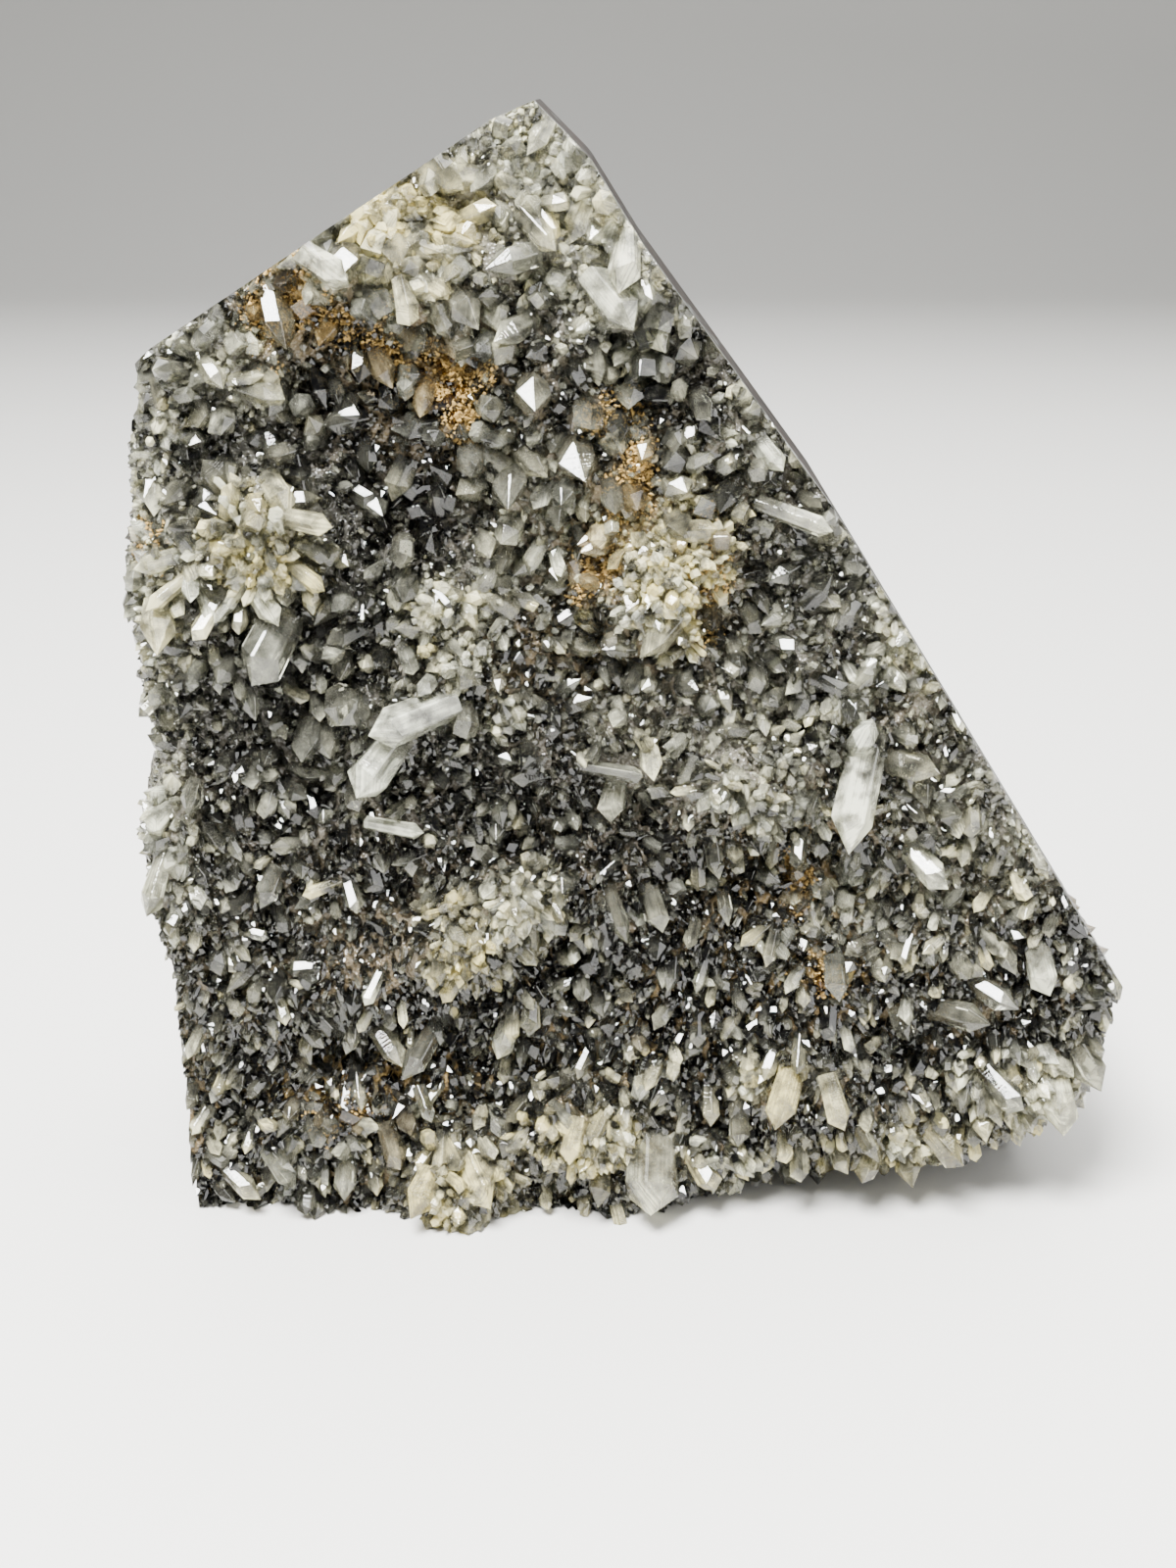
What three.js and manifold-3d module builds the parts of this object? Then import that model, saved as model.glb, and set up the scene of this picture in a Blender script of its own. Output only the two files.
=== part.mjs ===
// A standing freeform of dark sphalerite, sawn flat on its base, back and sides,
// whose front is a crust of small quartz points.
// Millimetres, +Z up. The crystal front faces -Y, and the origin is on the sawn base.
import * as THREE from 'three';
import { mergeVertices } from 'three/addons/utils/BufferGeometryUtils.js';
import Module from 'manifold-3d';

const wasm = await Module();
wasm.setup();

// Driving dimensions
const height = 114.3; // base to the sawn peak
const leftSide = -44.2; // the sawn left side, at its top end
const rightCorner = 55.8; // where the sawn right side meets the grown lower corner
const rightCornerUp = 26; // height of that corner
const rightSideDraft = 0.63; // how far the sawn right side comes in for each mm up
const frontFace = -17; // mean level of the crystal tips
const backAtBase = 20; // the sawn back, at the base
const backLean = 0.1; // the back comes forward by this much for each mm up
const softenedEdge = 1.2; // bevel ground along the rim of the back
const sawAllowance = 3; // what the grown block has over the sawn peak and behind the sawn back
const footLiftStart = 6; // where the underside leaves the ground, along the front
const footLiftBehind = 26; // the same, along the back
const footLift = 0.2; // how much it rises for each mm to the right
const footAllowance = 1.5; // what the saw takes off the base
const gridAcross = 30; // steps of the crust's relief, left to right
const gridUp = 34; // steps of the relief, bottom to top
const gridDeep = 4; // steps from the front to the back
const crustPoint = 1.1; // how far the crust's own points stand out of it
const crustShift = 0.9; // how far they stray from an even spacing
const shareOfPoints = 0.42; // how many places of the relief carry one
const pointWidth = 2.5; // middling width of the scattered quartz points
const pointSpacing = 4; // how clear the scattered points stay of the large ones
const scatteredPoints = 96;
const seed = 4127;

// Main lumps and hollows of the front: x, z, reach across, reach up, how far it stands out
const swells = [
  [-32, 72.5, 7, 7, 3.4], // star-shaped cluster, upper left
  [-43, 64.5, 4, 4, 1.6],
  [-41, 41, 6, 9, 2.2],
  [-44, 37, 4, 4, 2.6], // lump on the left edge, over the sawn side
  [-15.5, 66.5, 5, 6, 2.2], // light band that runs down to the left
  [-17, 55, 7, 6, 2.6],
  [-4, 52.5, 9, 5, 1.4],
  [9, 70.5, 7, 9, 3], // large greenish cluster
  [-24, 99, 9, 5, 2], // cream clusters under the upper left edge
  [-16, 96, 7, 6, 1.6],
  [3.5, 98, 7, 6, 2.4], // milky pair near the upper right edge
  [-4, 86, 8, 5, 1.2],
  [-24, 82, 8, 10, -1.8], // dark smooth stretch
  [-30, 54, 6, 6, -1],
  [16, 48, 9, 6, 4], // rounded lump with a hollow beneath it
  [23, 38, 9, 4, -3],
  [28, 59, 8, 7, 1.2],
  [31, 45, 8, 7, 1.6],
  [-13, 31, 7, 5, 4], // yellow-green ledge
  [-1, 27, 7, 5, -2.4],
  [-7, 37, 6, 4, 2.2],
  [4, 35, 6, 5, 1.8],
  [-22, 18, 15, 3.4, -3.2], // dark recess under the ledge
  [-31, 24, 9, 4, 1.2],
  [-38, 12, 3.5, 3.5, -1.6],
  [-30, 8, 8, 5, 1.8],
  [-14, 3, 6.5, 6, 4.6], // lumps along the bottom, down to the ground
  [-1, 9.5, 7, 5, 3.4],
  [7, 5, 6, 5, 3.2],
  [21, 14, 7, 6, 3.4],
  [35, 8, 8, 6, 4],
  [48, 13, 6, 6, 2.4],
  [26, 25, 9, 6, 0.8],
  [41, 26, 8, 6, 1.4],
];

// Waves of the crust between the lumps: across, up, how far they stand out, shift
const waves = [
  [0.42, 0.17, 0.55, 0.6],
  [-0.23, 0.47, 0.5, 2.1],
  [0.78, 0.61, 0.34, 4.4],
  [0.9, -0.74, 0.3, 1.3],
];

// The largest quartz points: root x and z, tip x and z, width
const largePoints = [
  [-13.5, 57, -21.5, 55, 4.2], // big clear point, lying to the left
  [-18.5, 54, -23, 49, 4.4],
  [28, 52, 25.5, 43, 4.2], // milky point, hanging
  [27, 52.5, 27.6, 55.5, 3.2],
  [-1, 50.5, 5.5, 50.5, 2.2],
  [6, 52.5, 6.6, 49.5, 2.6],
  [3, 48.5, 2, 45, 3],
  [2, 37.5, 4, 32.5, 2.4],
  [6, 37.5, 7.5, 33, 2.5],
  [-22.5, 44, -16.5, 44, 1.8],
  [-32, 39, -33.5, 35.5, 2.5],
  [-34.5, 28.5, -37.5, 26, 2.5],
  [-34.5, 58, -33, 55.5, 2.4],
  [-30, 76, -24.5, 75.5, 2.5], // rays of the star-shaped cluster
  [-39.5, 72, -44, 71, 2],
  [-39, 70, -43, 67, 2],
  [-35, 76, -34, 79.5, 2],
  [-33, 69, -30, 65.5, 2.4],
  [-36, 68, -38.5, 64, 2],
  [-29, 71, -25.5, 69, 2],
  [-29.5, 66.5, -33, 59.5, 5.5], // clear rounded one beneath the star
  [-42.5, 67, -42, 62.5, 4],
  [-6.5, 104.5, -3, 101, 2.4],
  [-17.5, 98, -16.5, 94.5, 3],
  [-5, 100.5, -9.5, 99.5, 3],
  [-15.5, 88.5, -16, 85.5, 2.6],
  [4, 102, 3, 97.5, 3.6],
  [0.5, 98.5, 4.5, 94, 4],
  [-30, 97, -28.5, 92, 3.6],
  [-26.5, 100.5, -22, 98.5, 4],
  [-13, 97, -10, 94, 3.2],
  [16, 83.5, 20, 78.5, 3],
  [16.5, 77, 23.5, 75, 2.2],
  [8, 74, 12.5, 75, 2.6],
  [9, 66, 5, 62.5, 3],
  [25.5, 29.5, 26, 25.5, 2.6],
  [46.5, 30.5, 47.5, 26, 3],
  [36, 23.5, 41.5, 23.5, 3.5],
  [40, 26.5, 44.5, 24.5, 2.6],
  [32, 24, 33.5, 20.5, 2.5],
  [33, 41, 36.5, 38, 3],
  [30, 51, 35, 50.5, 3],
  [42.5, 31, 44.5, 28, 2.2],
  [49.5, 16, 50, 10.5, 4.2], // rounded milky ones at the lower right
  [51.5, 19, 54, 15, 3.4],
  [41.5, 17, 45.5, 13.5, 3],
  [36, 10, 39.5, 7, 3.2],
  [31, 8, 29, 4.8, 3],
  [34, 7, 34.5, 3.6, 2.8],
  [28.5, 11, 30.5, 8, 2.2],
  [13, 14.5, 13, 11, 2.2],
  [16, 13, 16, 9, 2.2],
  [21.5, 16.5, 19.5, 12, 4], // block under the rounded lump
  [25, 17, 26.5, 12, 2.6],
  [22.5, 8.5, 22.5, 4.8, 2.6],
  [26, 9, 27.5, 5.5, 2.2],
  [8.5, 8.5, 5.5, 1.8, 5], // large clear point of the bottom edge
  [11, 7, 13.5, 4, 2.6],
  [1.5, 6.5, 1, 2.6, 2.8],
  [-1, 12, -2, 8.5, 3],
  [-26, 6.5, -26, 2.4, 3],
  [-34.5, 8, -31, 4.5, 2.6],
  [-21.5, 10, -20, 6, 2.6],
  [-8, 22, -9.5, 18.5, 2.6],
  [-6, 24, -6, 21, 2.2],
  [-23, 21, -19.5, 17, 2.6],
  [-16.5, 20, -19.5, 15.5, 3],
  [-18, 14, -16.5, 11, 2.2],
  [-13, 7, -10.5, 3, 4],
  [-16.5, 6, -18.5, 2.4, 3.6],
  [-39.5, 5, -35, 2.4, 2.6],
  [-43, 41, -44.4, 36, 3.4], // on the left edge
];

// Steady pseudo-random numbers from 0 to 1, the same on every run
function randomSource(start) {
  let state = start;
  return () => {
    state = (state * 16807) % 2147483647;
    return state / 2147483647;
  };
}

function smoothStep(from, to, value) {
  const t = Math.min(Math.max((value - from) / (to - from), 0), 1);
  return t * t * (3 - 2 * t);
}

// How far the front stands out of its mean level at a place, lumps and waves together
function standsOut(x, z) {
  let out = 0;
  for (const [lumpX, lumpZ, across, up, rise] of swells) {
    out += rise * Math.exp(-(((x - lumpX) / across) ** 2) - ((z - lumpZ) / up) ** 2);
  }
  for (const [across, up, rise, shift] of waves) {
    out += rise * Math.sin(across * x + up * z + shift);
  }
  return out;
}

// A quarter-round drop: full radius at the rim, nothing once the inset passes the radius
function roundOver(inset, radius) {
  const short = radius - Math.min(Math.max(inset, 0), radius);
  return radius - Math.sqrt(radius * radius - short * short);
}

// Where the grown underside leaves the ground towards the right, nearer the front than behind
function underside(x, y) {
  const start = footLiftStart + (footLiftBehind - footLiftStart) * smoothStep(-12, 4, y);
  return footLift * Math.max(x - start, 0) - footAllowance;
}

// The grown left and right limits at a height; the right one passes out of the sawn side
function grownLimits(z) {
  const waver = 0.4 * Math.sin(0.53 * z) - 0.5 * Math.sin(0.21 * z);
  const leftTopInset = 1.6 * smoothStep(76, 92, z);
  const rightFootInset = 4.5 * (1 - smoothStep(4, 20, z));
  const rightOverSaw = 4 * smoothStep(20, 34, z);
  const left = leftSide - 0.8 + waver + leftTopInset;
  const right = rightCorner - 0.8 + rightOverSaw - rightFootInset;
  return { left, right };
}

// Level of the crystal front at a place: mean face, lumps, and the rims rolled over
function frontLevel(x, z) {
  const { left, right } = grownLimits(z);
  const footRadius = 3 + 7 * smoothStep(-5, 25, x);
  const foot = roundOver(z - underside(x, frontFace), footRadius);
  const leftRim = roundOver(x - left, 4);
  const rightRim = roundOver(right - x, 6) * (1 - smoothStep(rightCornerUp - 2, rightCornerUp + 6, z));
  return frontFace - standsOut(x, z) + foot + leftRim + rightRim;
}

// A closed solid from a geometry: equal points made one, triangles of no area left out
function solidFrom(geometry) {
  geometry.deleteAttribute('normal');
  geometry.deleteAttribute('uv');
  const merged = mergeVertices(geometry, 1e-4);
  const index = merged.index.array;
  const triangles = [];
  for (let i = 0; i < index.length; i += 3) {
    const [a, b, c] = [index[i], index[i + 1], index[i + 2]];
    if (a !== b && b !== c && c !== a) triangles.push(a, b, c);
  }
  return new wasm.Manifold(new wasm.Mesh({
    numProp: 3,
    vertProperties: new Float32Array(merged.attributes.position.array),
    triVerts: new Uint32Array(triangles),
  }));
}

function geometryFrom(solid) {
  const mesh = solid.getMesh();
  const geometry = new THREE.BufferGeometry();
  geometry.setAttribute('position', new THREE.BufferAttribute(new Float32Array(mesh.vertProperties), 3));
  geometry.setIndex(new THREE.BufferAttribute(new Uint32Array(mesh.triVerts), 1));
  geometry.computeVertexNormals();
  return geometry;
}

// Cut about half of a block's square cells along their other diagonal, so that it shows no grain
function turnSomeDiagonals(index, random) {
  for (let cell = 0; cell < index.length; cell += 6) {
    const [a, b, d, , c] = index.subarray(cell, cell + 5);
    if (random() < 0.5) index.set([a, b, c, a, c, d], cell);
  }
}

// A block whose front is the druse's relief; its top, right side and back are left for the saw
function crustBlock() {
  const geometry = new THREE.BoxGeometry(1, 1, 1, gridAcross, gridDeep, gridUp);
  geometry.deleteAttribute('normal');
  geometry.deleteAttribute('uv');
  const block = mergeVertices(geometry, 1e-5);
  const position = block.attributes.position;
  const random = randomSource(seed);
  const overTop = height + sawAllowance;
  const behindBack = backAtBase + sawAllowance;
  for (let i = 0; i < position.count; i++) {
    const acrossShare = position.getX(i) + 0.5;
    const deepShare = position.getY(i) + 0.5;
    const upShare = position.getZ(i) + 0.5;
    const roughZ = overTop * upShare;
    const { left, right } = grownLimits(roughZ);
    const roughY = frontFace + (behindBack - frontFace) * deepShare;
    let x = left + (right - left) * acrossShare;
    const bottom = underside(x, roughY);
    let z = bottom + (overTop - bottom) * upShare;
    const point = crustPoint * (random() < shareOfPoints ? 0.4 + 0.8 * random() : -0.5 * random());
    const onFront = deepShare < 0.01;
    const onLeftSide = !onFront && acrossShare < 0.01;
    if (onFront) {
      x += (random() - 0.5) * 2 * crustShift;
      z += (random() - 0.5) * 2 * crustShift;
      position.setXYZ(i, x, frontLevel(x, z) - point, z);
    } else {
      const y = frontLevel(x, z) * (1 - deepShare) + behindBack * deepShare;
      position.setXYZ(i, onLeftSide ? x - Math.abs(point) : x, y, z);
    }
  }
  turnSomeDiagonals(block.index.array, random);
  return solidFrom(block);
}

// One six-sided quartz point from root to tip, its shoulders uneven and its tip off centre
function quartzPoint(root, tip, width, random) {
  const axis = new THREE.Vector3().subVectors(tip, root);
  const length = axis.length();
  const shoulder = Math.max(length - width * (0.55 + 0.25 * random()), length * 0.3);
  const profile = [
    new THREE.Vector2(0, 0),
    new THREE.Vector2(width * 0.46, 0),
    new THREE.Vector2(width * 0.5, shoulder),
    new THREE.Vector2(0, length),
  ];
  const geometry = new THREE.LatheGeometry(profile, 6, random() * Math.PI);
  geometry.deleteAttribute('normal');
  geometry.deleteAttribute('uv');
  const point = mergeVertices(geometry, 1e-4);
  const position = point.attributes.position;
  const slide = (length - shoulder) * 0.35;
  const flat = 0.8 + 0.2 * random();
  for (let i = 0; i < position.count; i++) {
    const y = position.getY(i);
    const onShoulder = Math.abs(y - shoulder) < 1e-3;
    const moved = onShoulder ? y + (random() - 0.5) * 2 * slide : y;
    position.setXYZ(i, position.getX(i), moved, position.getZ(i) * flat);
  }
  const turn = new THREE.Quaternion().setFromUnitVectors(new THREE.Vector3(0, 1, 0), axis.normalize());
  point.applyQuaternion(turn);
  point.translate(root.x, root.y, root.z);
  return solidFrom(point);
}

// A quartz point that grows out of the crust at its root and ends at its tip
function pointOnCrust(rootX, rootZ, tipX, tipZ, width, random) {
  const reach = Math.hypot(tipX - rootX, tipZ - rootZ);
  const rise = Math.max(width * 0.55, reach * 0.35);
  const level = Math.min(frontLevel(rootX, rootZ), frontLevel(tipX, tipZ));
  const root = new THREE.Vector3(rootX, level + width * 0.6, rootZ);
  const tip = new THREE.Vector3(tipX, level - rise, tipZ);
  return quartzPoint(root, tip, width, random);
}

function namedPoints(random) {
  return largePoints.map((row) => pointOnCrust(...row, random));
}

// Middling points strewn over the crust, hanging near the bottom and any way higher up
function scatterPoints(random) {
  const points = [];
  const rim = 3;
  while (points.length < scatteredPoints) {
    const x = leftSide + rim + (rightCorner - leftSide - rim) * random();
    const z = rim + (height - 4 * rim) * random();
    const sawnSide = rightCorner - rim - rightSideDraft * Math.max(z - rightCornerUp, 0);
    const crowded = largePoints.some((row) => Math.hypot(row[0] - x, row[1] - z) < pointSpacing);
    if (crowded || x > sawnSide) continue;
    const hang = 1 - smoothStep(20, 60, z);
    const angle = -Math.PI / 2 + (random() - 0.5) * Math.PI * (2 - 1.4 * hang);
    const width = pointWidth * (0.75 + 0.5 * random());
    const reach = width * (0.8 + 0.8 * random());
    points.push(pointOnCrust(
      x, z, x + reach * Math.cos(angle), z + reach * Math.sin(angle), width, random,
    ));
  }
  return points;
}

// Everything that the saw leaves: the outline of the sawn sides, as deep as the stone
function sawnBlock() {
  const grownMargin = 4;
  const leftStep = 33.5;
  const outline = new THREE.Shape([
    [leftSide + 2, 0],
    [rightCorner + grownMargin, 0],
    [rightCorner + grownMargin, rightCornerUp - 6],
    [rightCorner, rightCornerUp],
    [24, 76.3],
    [5.2, 101.4],
    [0.2, 109.2],
    [-5, height],
    [-9, 112.6],
    [-23, 103.7],
    [-42, 91.6],
    [leftSide - grownMargin, 86],
    [leftSide - grownMargin, leftStep + 2.5],
    [leftSide, leftStep],
  ].map(([x, z]) => new THREE.Vector2(x, z)));
  const inFront = 34;
  const depth = inFront + backAtBase - 2 * softenedEdge;
  const geometry = new THREE.ExtrudeGeometry(outline, {
    depth,
    bevelEnabled: true,
    bevelThickness: softenedEdge,
    bevelSize: softenedEdge,
    bevelOffset: -softenedEdge,
    bevelSegments: 1,
  });
  geometry.rotateX(Math.PI / 2);
  geometry.translate(0, backAtBase - softenedEdge, 0);
  const position = geometry.attributes.position;
  for (let i = 0; i < position.count; i++) {
    const share = smoothStep(-inFront, backAtBase, position.getY(i));
    position.setY(i, position.getY(i) - backLean * position.getZ(i) * share);
  }
  return solidFrom(geometry);
}

// The stone without the chips that the saw sets free along its edges
function largestPiece(solid) {
  return solid.decompose().reduce((most, piece) => (piece.volume() > most.volume() ? piece : most));
}

function specimenSolid() {
  const random = randomSource(seed + 1);
  const crystals = [...namedPoints(random), ...scatterPoints(random)];
  let rough = crustBlock();
  for (const crystal of crystals) rough = rough.add(crystal);
  return largestPiece(rough.intersect(sawnBlock()));
}

const stone = new THREE.MeshStandardMaterial({ color: '#3b3c3d', roughness: 0.35, metalness: 0 });
const specimen = new THREE.Mesh(geometryFrom(specimenSolid()), stone);
specimen.name = 'sphalerite_specimen';

const part = new THREE.Group();
part.add(specimen);
export default part;
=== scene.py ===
import math

import bpy
import numpy as np
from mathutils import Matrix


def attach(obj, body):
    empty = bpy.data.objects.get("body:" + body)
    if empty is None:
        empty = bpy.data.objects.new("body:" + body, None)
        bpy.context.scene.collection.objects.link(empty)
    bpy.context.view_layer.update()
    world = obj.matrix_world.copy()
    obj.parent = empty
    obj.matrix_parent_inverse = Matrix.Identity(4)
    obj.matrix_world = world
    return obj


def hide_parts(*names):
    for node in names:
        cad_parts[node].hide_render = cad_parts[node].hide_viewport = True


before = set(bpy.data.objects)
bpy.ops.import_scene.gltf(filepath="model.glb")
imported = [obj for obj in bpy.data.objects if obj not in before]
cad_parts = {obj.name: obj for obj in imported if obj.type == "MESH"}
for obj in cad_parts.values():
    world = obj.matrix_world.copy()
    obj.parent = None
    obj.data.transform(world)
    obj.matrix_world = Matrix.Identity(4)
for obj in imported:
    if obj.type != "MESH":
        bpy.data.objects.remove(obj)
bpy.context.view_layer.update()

# A standing slab of dark sphalerite with a front of quartz points.
# Shapes are worked out in millimetres and put into the meshes in metres.
mm = 0.001
growthLine = 0.22  # mm between the growth lines across a quartz face
growthDepth = 0.02  # mm that such a line is deep
veilSize = 2.0  # mm across a veil of gas bubbles inside the quartz
streakSize = 0.45  # mm across a streak that runs up a quartz prism
sugarSize = 0.32  # mm across the tiny steps on the skin of milky quartz
sugarDepth = 0.08  # mm that they stand out
luck = np.random.default_rng(18)

# The stone's own measures, as the solid has them
stone = dict(
    height=114.3,
    leftSide=-44.2,
    rightCorner=55.8,
    rightCornerUp=26.0,
    frontFace=-17.0,
    backAtBase=20.0,
    backLean=0.1,
    softenedEdge=1.2,
    footLiftStart=6.0,
    footLiftBehind=26.0,
    footLift=0.2,
    footAllowance=1.5,
)

# Sawn outline, up the left side and up the right side: height, across
sawnLeft = np.array([(0, -42.2), (33.5, -44.2), (36, -48.2), (86, -48.2), (91.6, -42), (103.7, -23),
                     (112.6, -9), (114.3, -5)], float)
sawnRight = np.array([(0, 59.8), (20, 59.8), (26, 55.8), (76.3, 24), (101.4, 5.2), (109.2, 0.2),
                      (114.3, -5)], float)

# Lumps and hollows of the front: x, z, reach across, reach up, how far it stands out
swells = np.array([
    (-32, 72.5, 7, 7, 3.4), (-43, 64.5, 4, 4, 1.6), (-41, 41, 6, 9, 2.2), (-44, 37, 4, 4, 2.6),
    (-15.5, 66.5, 5, 6, 2.2), (-17, 55, 7, 6, 2.6), (-4, 52.5, 9, 5, 1.4), (9, 70.5, 7, 9, 3),
    (-24, 99, 9, 5, 2), (-16, 96, 7, 6, 1.6), (3.5, 98, 7, 6, 2.4), (-4, 86, 8, 5, 1.2),
    (-24, 82, 8, 10, -1.8), (-30, 54, 6, 6, -1), (16, 48, 9, 6, 4), (23, 38, 9, 4, -3),
    (28, 59, 8, 7, 1.2), (31, 45, 8, 7, 1.6), (-13, 31, 7, 5, 4), (-1, 27, 7, 5, -2.4),
    (-7, 37, 6, 4, 2.2), (4, 35, 6, 5, 1.8), (-22, 18, 15, 3.4, -3.2), (-31, 24, 9, 4, 1.2),
    (-38, 12, 3.5, 3.5, -1.6), (-30, 8, 8, 5, 1.8), (-14, 3, 6.5, 6, 4.6), (-1, 9.5, 7, 5, 3.4),
    (7, 5, 6, 5, 3.2), (21, 14, 7, 6, 3.4), (35, 8, 8, 6, 4), (48, 13, 6, 6, 2.4),
    (26, 25, 9, 6, 0.8), (41, 26, 8, 6, 1.4),
], float)

# Waves of the crust between them: across, up, how far they stand out, shift
waves = np.array([(0.42, 0.17, 0.55, 0.6), (-0.23, 0.47, 0.5, 2.1), (0.78, 0.61, 0.34, 4.4),
                  (0.9, -0.74, 0.3, 1.3)], float)

# Finer waves that only the dressed surface has
ripples = np.array([(1.9, 0.8, 0.2, 0.3), (-1.3, 2.1, 0.18, 1.9), (2.7, 2.2, 0.12, 3.3),
                    (3.6, -2.9, 0.09, 5.1)], float)

# Where the quartz is milky: x, z, reach across, reach up, how much. Rows with a negative amount lie in
# hollows; they make the points clearer and the crust darker there: painted shade
milkyAndShadePatches = np.array([
    (-32, 72.5, 6, 5.5, 1.0), (-39, 70, 5, 5, 0.7), (-18, 103.5, 8, 4.5, 1.0), (-16, 99, 5, 4.5, 0.9),
    (-25, 100, 5, 4, 0.9), (7, 70.5, 6, 8, 1.0), (-15, 66, 5, 3.5, 0.8), (-14, 61, 4, 3, 0.4),
    (-20, 55, 5, 4, 0.15), (-13, 30, 4.5, 4.5, 0.9), (-7, 36, 5, 4, 0.8), (-14, 4, 6, 6, 1.1),
    (1, 9, 7, 4, 1.1), (20, 15, 6, 4, 0.8), (35, 8, 7, 5, 0.9), (50, 13, 6, 6, 1.1),
    (-5, 110, 8, 6, 1.2), (0, 105, 9, 6, 1.1), (3, 97, 6, 6, 0.8), (32, 62, 4, 6, 0.9),
    (24, 74, 3, 6, 0.4), (45, 43, 3, 6, 0.5), (-44, 62, 3, 30, 0.5), (-42.5, 17, 3, 15, 0.2),
    (15, 48, 9, 6, 0.35), (-38, 91, 7, 4, 0.4), (0, 0, 60, 8, 0.15), (-40, 42, 6, 9, 0.4),
    (-34, 90, 5, 5, 0.35), (-9, 58, 7, 4, 0.25), (-2, 82, 9, 6, 0.3), (20, 88, 6, 8, 0.25),
    (36, 46, 8, 10, 0.25), (-11, 92, 5, 4, 0.5), (-6, 73, 5, 6, 0.5), (14, 83, 3, 4, 0.35),
    (20, 65, 5, 5, 0.45), (26, 36, 7, 6, 0.5), (40, 38, 6, 8, 0.3), (-25, 46, 6, 5, 0.5),
    (16, 56, 6, 5, 0.4), (4, 54, 4, 4, 0.4), (-30, 86, 5, 7, 0.35), (23, 18, 4, 3, 0.4),
    (36, 23, 5, 4, 0.3), (-30, 77, 4, 3, 0.6), (-43, 77, 3, 4, 0.4), (-33, 18, 7, 3, 0.4),
    (-11, 18, 5, 3, 0.4), (6, 12, 6, 3, 0.4), (-14, 88, 3, 3, -0.4), (-30, 46, 12, 7, -0.25),
    (0, 20, 12, 4, -0.25), (28, 46, 3, 5, -0.3), (-38, 49, 3, 3, -0.2), (21, 12, 5, 4, -0.4),
    (-24, 82, 7, 10, -0.4), (-2, 44, 12, 5, -0.2), (30, 19, 10, 3, -0.3), (6, 34, 11, 4, -0.5),
    (8, 24, 7, 6, -0.3), (-34, 5, 9, 4, -0.5), (-13, 23, 5, 5, -0.3), (-14, 42, 5, 4, -0.3),
    (18, 11, 5, 4, -0.3),
], float)

# Where it is stained cream to yellow, and where rusty limonite lies
yellowPatches = np.array([
    (-32, 73, 5, 5, 1.0), (-17, 104, 7, 4, 1.3), (-29, 94, 3, 3, 0.7), (7, 70.5, 6, 8, 0.8),
    (-13, 30, 4, 4, 1.0), (-14, 3, 6, 5, 0.9), (1, 9, 7, 4, 0.9), (20, 15, 6, 5, 0.6),
    (35, 6, 9, 5, 0.7), (50, 12, 6, 6, 0.6), (0, 4, 60, 10, 0.3),
], float)
rustPatches = np.array([
    (-27.5, 97.5, 2.2, 1.6, 1.0), (-31, 94, 1.2, 2.4, 0.9), (-24, 94.6, 2.2, 1, 0.8),
    (-19.5, 92, 2.4, 1, 0.8), (-13.6, 89.5, 2.6, 2.4, 1.0), (-12, 86, 1.4, 2.4, 0.9),
    (1, 71.5, 1.8, 2.4, 1.0), (4.8, 79.5, 1.4, 2.8, 1.0), (2.8, 85, 2.2, 1.8, 0.6),
    (12, 70, 1.2, 3.4, 0.9), (21.5, 37, 1.5, 2.8, 0.9), (25.6, 27.7, 2.2, 1.4, 0.6),
    (-24.6, 11.4, 2.6, 1.6, 0.7), (-44.6, 73, 1.6, 1.8, 0.6),
], float)
# Broad brownish staining round them, between the points
stainPatches = np.array([
    (4, 72, 11, 13, 0.6), (-15, 89, 9, 8, 0.65), (21, 39, 8, 8, 0.6), (-8, 60, 9, 5, 0.35),
    (27, 27, 9, 5, 0.45), (-24, 14, 14, 6, 0.6), (-27, 96, 6, 5, 0.65), (6, 22, 14, 6, 0.45),
    (30, 58, 8, 6, 0.25),
], float)

# Where the druse is fine and close, nearly a bare crust
barePatches = np.array([
    (-45, 47, 3.4, 10, 1.0), (-43, 14, 3, 14, 0.9), (-3, 108, 9, 7, 0.8), (32, 64, 4, 9, 0.8),
    (15, 48, 8, 5, 1.0), (-22, 29, 8, 5, 0.9), (-24, 83, 9, 10, 0.5), (9, 71, 6, 8, 0.6),
    (-31, 73, 4, 4, 0.6),
], float)

# Hollows under ledges and between lumps, where few rice points grow, and the points there are drawn less
# milky so that the hollows look darker: painted shade
hollowPatches = np.array([
    (-22, 18, 14, 2.4, 0.7), (-12, 25.5, 4.5, 2, 1.0), (-1, 25.5, 7, 3.6, 0.9), (30, 19.5, 7, 2.8, 1.0),
    (43, 22.5, 5, 2.4, 0.9), (-24, 82, 8, 9, 0.9), (3, 43.5, 9, 3, 0.8), (20, 66, 4.5, 6, 0.8),
    (-33, 13, 7, 2.6, 0.8), (10, 12, 5, 2.2, 0.8), (14, 31, 6, 2.6, 0.7), (-27, 44, 7, 4, 0.7),
    (-37, 61, 4, 5, 0.8), (6, 33, 9, 3, 0.6), (-19, 65, 2, 4, 0.7), (11, 2, 4, 2.4, 0.9),
    (-27, 29, 6, 2.4, 0.6),
], float)


def unit(vectors):
    return vectors / np.maximum(np.linalg.norm(vectors, axis=-1, keepdims=True), 1e-9)


def smoothStep(low, high, value):
    # 0 below low, 1 above high, and an even S between them
    t = np.clip((value - low) / (high - low), 0, 1)
    return t * t * (3 - 2 * t)


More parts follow.
